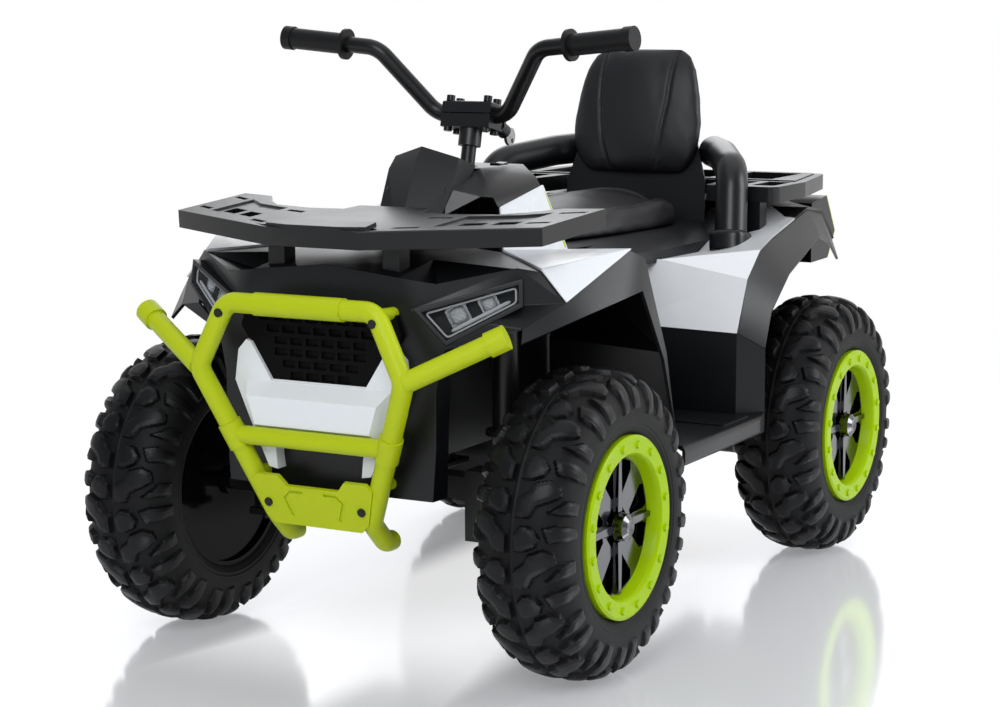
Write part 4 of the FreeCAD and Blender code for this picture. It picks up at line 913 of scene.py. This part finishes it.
s, t = np.meshgrid(np.linspace(-1, 1, 41), np.linspace(-1, 1, 41), indexing="ij")
swell = (1 - s ** 4) * (1 - t ** 4)
cushions = cushion_rise * np.cos(3 * math.pi * s) * np.cos(3 * math.pi * t) * swell
lift = lamp_stand + lamp_swell * swell + cushions
square = s[..., None] * np.sqrt(1 - barrel * t ** 2)[..., None] * lower
square = square + t[..., None] * np.sqrt(1 - barrel * s ** 2)[..., None] * lamp_up
for name, (centre, half) in lamps.items():
    lamp = np.array(centre) / 1000.0 + half * square + lift[..., None] * cover_out
    on_both_sides("lamp_" + name, lamp, painted_chrome_glint, "bright_chrome", along=False)

# %% Strip along the rear edge of the tank side
tank_top, tank_foot, tank_front = np.array([
    (84, -121.75, 526), (112, -109.75, 447), (76, -212.75, 506),
]) / 1000.0
strip_before, strip_out = 0.0042, 0.0031

tank_out = unit(np.cross(tank_front - tank_top, tank_foot - tank_top))
forward = unit(np.cross(tank_out, unit(tank_foot - tank_top)))
forward *= -np.sign(forward[1])
strip = straight(tank_top, tank_foot, 0.04, 0.97) + forward * strip_before + tank_out * strip_out
on_both_sides("tank_strip", swept(strip, tank_out, 0.0011, 0.0034), lime_satin, "lime_plastic")

# %% Collars where the arm tubes stand on the deck
# A collar grows over its first part in a quarter round, then narrows a little. Its outline is a soft square.
tube_top, tube_foot = np.array([(181, 235.25, 524), (194, 199.25, 385)]) / 1000.0
collar_from, collar_length = 0.575, 0.175
collar_radius, collar_grow, collar_taper = 0.0215, 0.0052, 0.0012
grow_part = 0.3
round_share, square_share = 0.35, 0.65

down = unit(tube_foot - tube_top)
aside = unit(np.cross(down, (0.0, 1.0, 0.0)))
ahead = np.cross(aside, down)
fall = np.linspace(0.0, 1.0, 13)[:, None, None]
turn = full_turn(48)
squarish = (np.abs(np.cos(turn)) ** 4 + np.abs(np.sin(turn)) ** 4) ** -0.25
quarter = np.sqrt(np.maximum(1.0 - (1.0 - np.minimum(fall / grow_part, 1.0)) ** 2, 0.0))
radius = collar_radius + collar_grow * quarter - collar_taper * fall
ring = np.cos(turn) * aside + np.sin(turn) * ahead
axis = tube_top + (tube_foot - tube_top) * (collar_from + collar_length * fall)
collar = axis + radius * (round_share + square_share * squarish) * ring
on_both_sides("tube_collar", collar, black_gloss, "black_plastic")

# %% [markdown]
# The studio
#
# The photo has a white sweep, soft light from above and both sides, and a polished floor that mirrors the
# tyres. A white background should come from the backdrop and not from more light, so the floor glows and
# the world is white only where the camera, a mirror or glass looks at them, and the floor still takes the
# shadow. In front of the bike a mirror sees a dimmer room, because a white one would turn black plastic
# grey. Under the bike the floor is dull.

# %% Floor
soft = "SMOOTHSTEP"
pure_white = (1.0, 1.0, 1.0, 1.0)
floor_half = 12
dull_beside, dull_ahead, sweep_reach = (0.12, 0.2), (0.3, 0.6), (0.9, 1.9)


def ray(start, kind):
    """1 where the graph is asked for a ray of this kind, 0 elsewhere."""
    return start.node("LightPath", output="Is " + kind + " Ray")


def studio_floor():
    """A floor that is dull under the bike, polished round it and white far off, and glows for seen rays."""
    material = bpy.data.materials.new("studio_floor")
    material.use_nodes = True
    material.node_tree.nodes.clear()
    start = Value(material.node_tree)
    place = start.place()
    reach = start.node("VectorMath", {"operation": "LENGTH"}, {0: place}, output="Value")
    beside = abs(place.axis("X")).climb(*dull_beside, soft)
    beyond = abs(place.axis("Y")).climb(*dull_ahead, soft)
    polish = start.maths("MAXIMUM", beside, beyond)
    plain = start.node("BsdfDiffuse", {}, {"Color": (0.86, 0.86, 0.87, 1.0)})
    mirror = start.node("BsdfGlossy", {}, {"Color": (0.97, 0.98, 1.0, 1.0), "Roughness": 0.12})
    strong = start.node("Emission", {}, {"Color": pure_white, "Strength": 0.62})
    weak = start.node("Emission", {}, {"Color": (0.96, 0.97, 1.0, 1.0), "Strength": 0.26})
    sweep = start.node("Emission", {}, {"Color": pure_white, "Strength": 1.0})
    polished = polish.between(0.1, 0.55).blend(plain, mirror)
    near = start.node("AddShader", {}, {0: polished, 1: polish.blend(strong, weak)})
    lit = reach.climb(*sweep_reach, soft).blend(near, sweep)
    seen = ray(start, "Camera") + ray(start, "Glossy") + ray(start, "Transmission")
    start.node("OutputMaterial", {}, {"Surface": seen.blend(polished, lit)})
    return material


floor_mesh = bpy.data.meshes.new("floor")
floor_corners = [(x * floor_half, y * floor_half, 0) for x, y in ((-1, -1), (1, -1), (1, 1), (-1, 1))]
floor_mesh.from_pydata(floor_corners, [], [(0, 1, 2, 3)])
floor_mesh.materials.append(studio_floor())
floor = bpy.data.objects.new("floor", floor_mesh)
scene.collection.objects.link(floor)
print("floor", 2 * floor_half, "m wide")

# %% White world
scene.view_settings.view_transform = "Standard"
world = bpy.data.worlds.new("studio")
scene.world = world
world.use_nodes = True
world.node_tree.nodes.clear()
sky = Value(world.node_tree)
fill = sky.node("Background", {}, {"Color": (0.95, 0.97, 1.0, 1.0), "Strength": 0.43})
white = sky.node("Background", {}, {"Color": pure_white, "Strength": 1.0})
dim = sky.node("Background", {}, {"Color": (0.86, 0.92, 1.0, 1.0), "Strength": 0.3})
backdrop = sky.node("TexCoord", output="Generated").axis("Y").climb(-0.2, 0.5, soft)
unseen = ray(sky, "Glossy").blend(fill, backdrop.blend(dim, white))
seen = ray(sky, "Camera") + ray(sky, "Transmission")
sky.node("OutputWorld", {}, {"Surface": seen.blend(unseen, white)})
print("world nodes:", len(world.node_tree.nodes))

# %% Lamps
lamp_colour = (0.95, 0.97, 1.0)
overhead = 0.99


def softbox(name, place, target, size, watts):
    """An area lamp at a place, turned to face a target."""
    data = bpy.data.lights.new(name, "AREA")
    data.shape = "RECTANGLE"
    data.size, data.size_y = size
    data.energy = watts
    data.color = lamp_colour
    lamp = bpy.data.objects.new(name, data)
    away = unit(np.subtract(place, target).astype(float))
    side = unit(np.cross((0, 0, 1), away)) if abs(away[2]) < overhead else np.array([1.0, 0.0, 0.0])
    lamp.matrix_world = placed(side, np.cross(away, side), away, place)
    scene.collection.objects.link(lamp)
    print(name, watts, "W")


softbox("top_box", (0.1, -0.2, 2.5), (0, 0, 0.3), (2.2, 2.2), 10)
softbox("front_box", (0.8, -2.6, 1.9), (0, -0.2, 0.3), (1.4, 1.6), 40)
softbox("side_box", (2.6, 0.9, 1.4), (0, 0, 0.3), (1.2, 1.6), 36)
softbox("back_box", (-1.2, 2.4, 1.8), (0, 0, 0.4), (1.8, 1.4), 18)
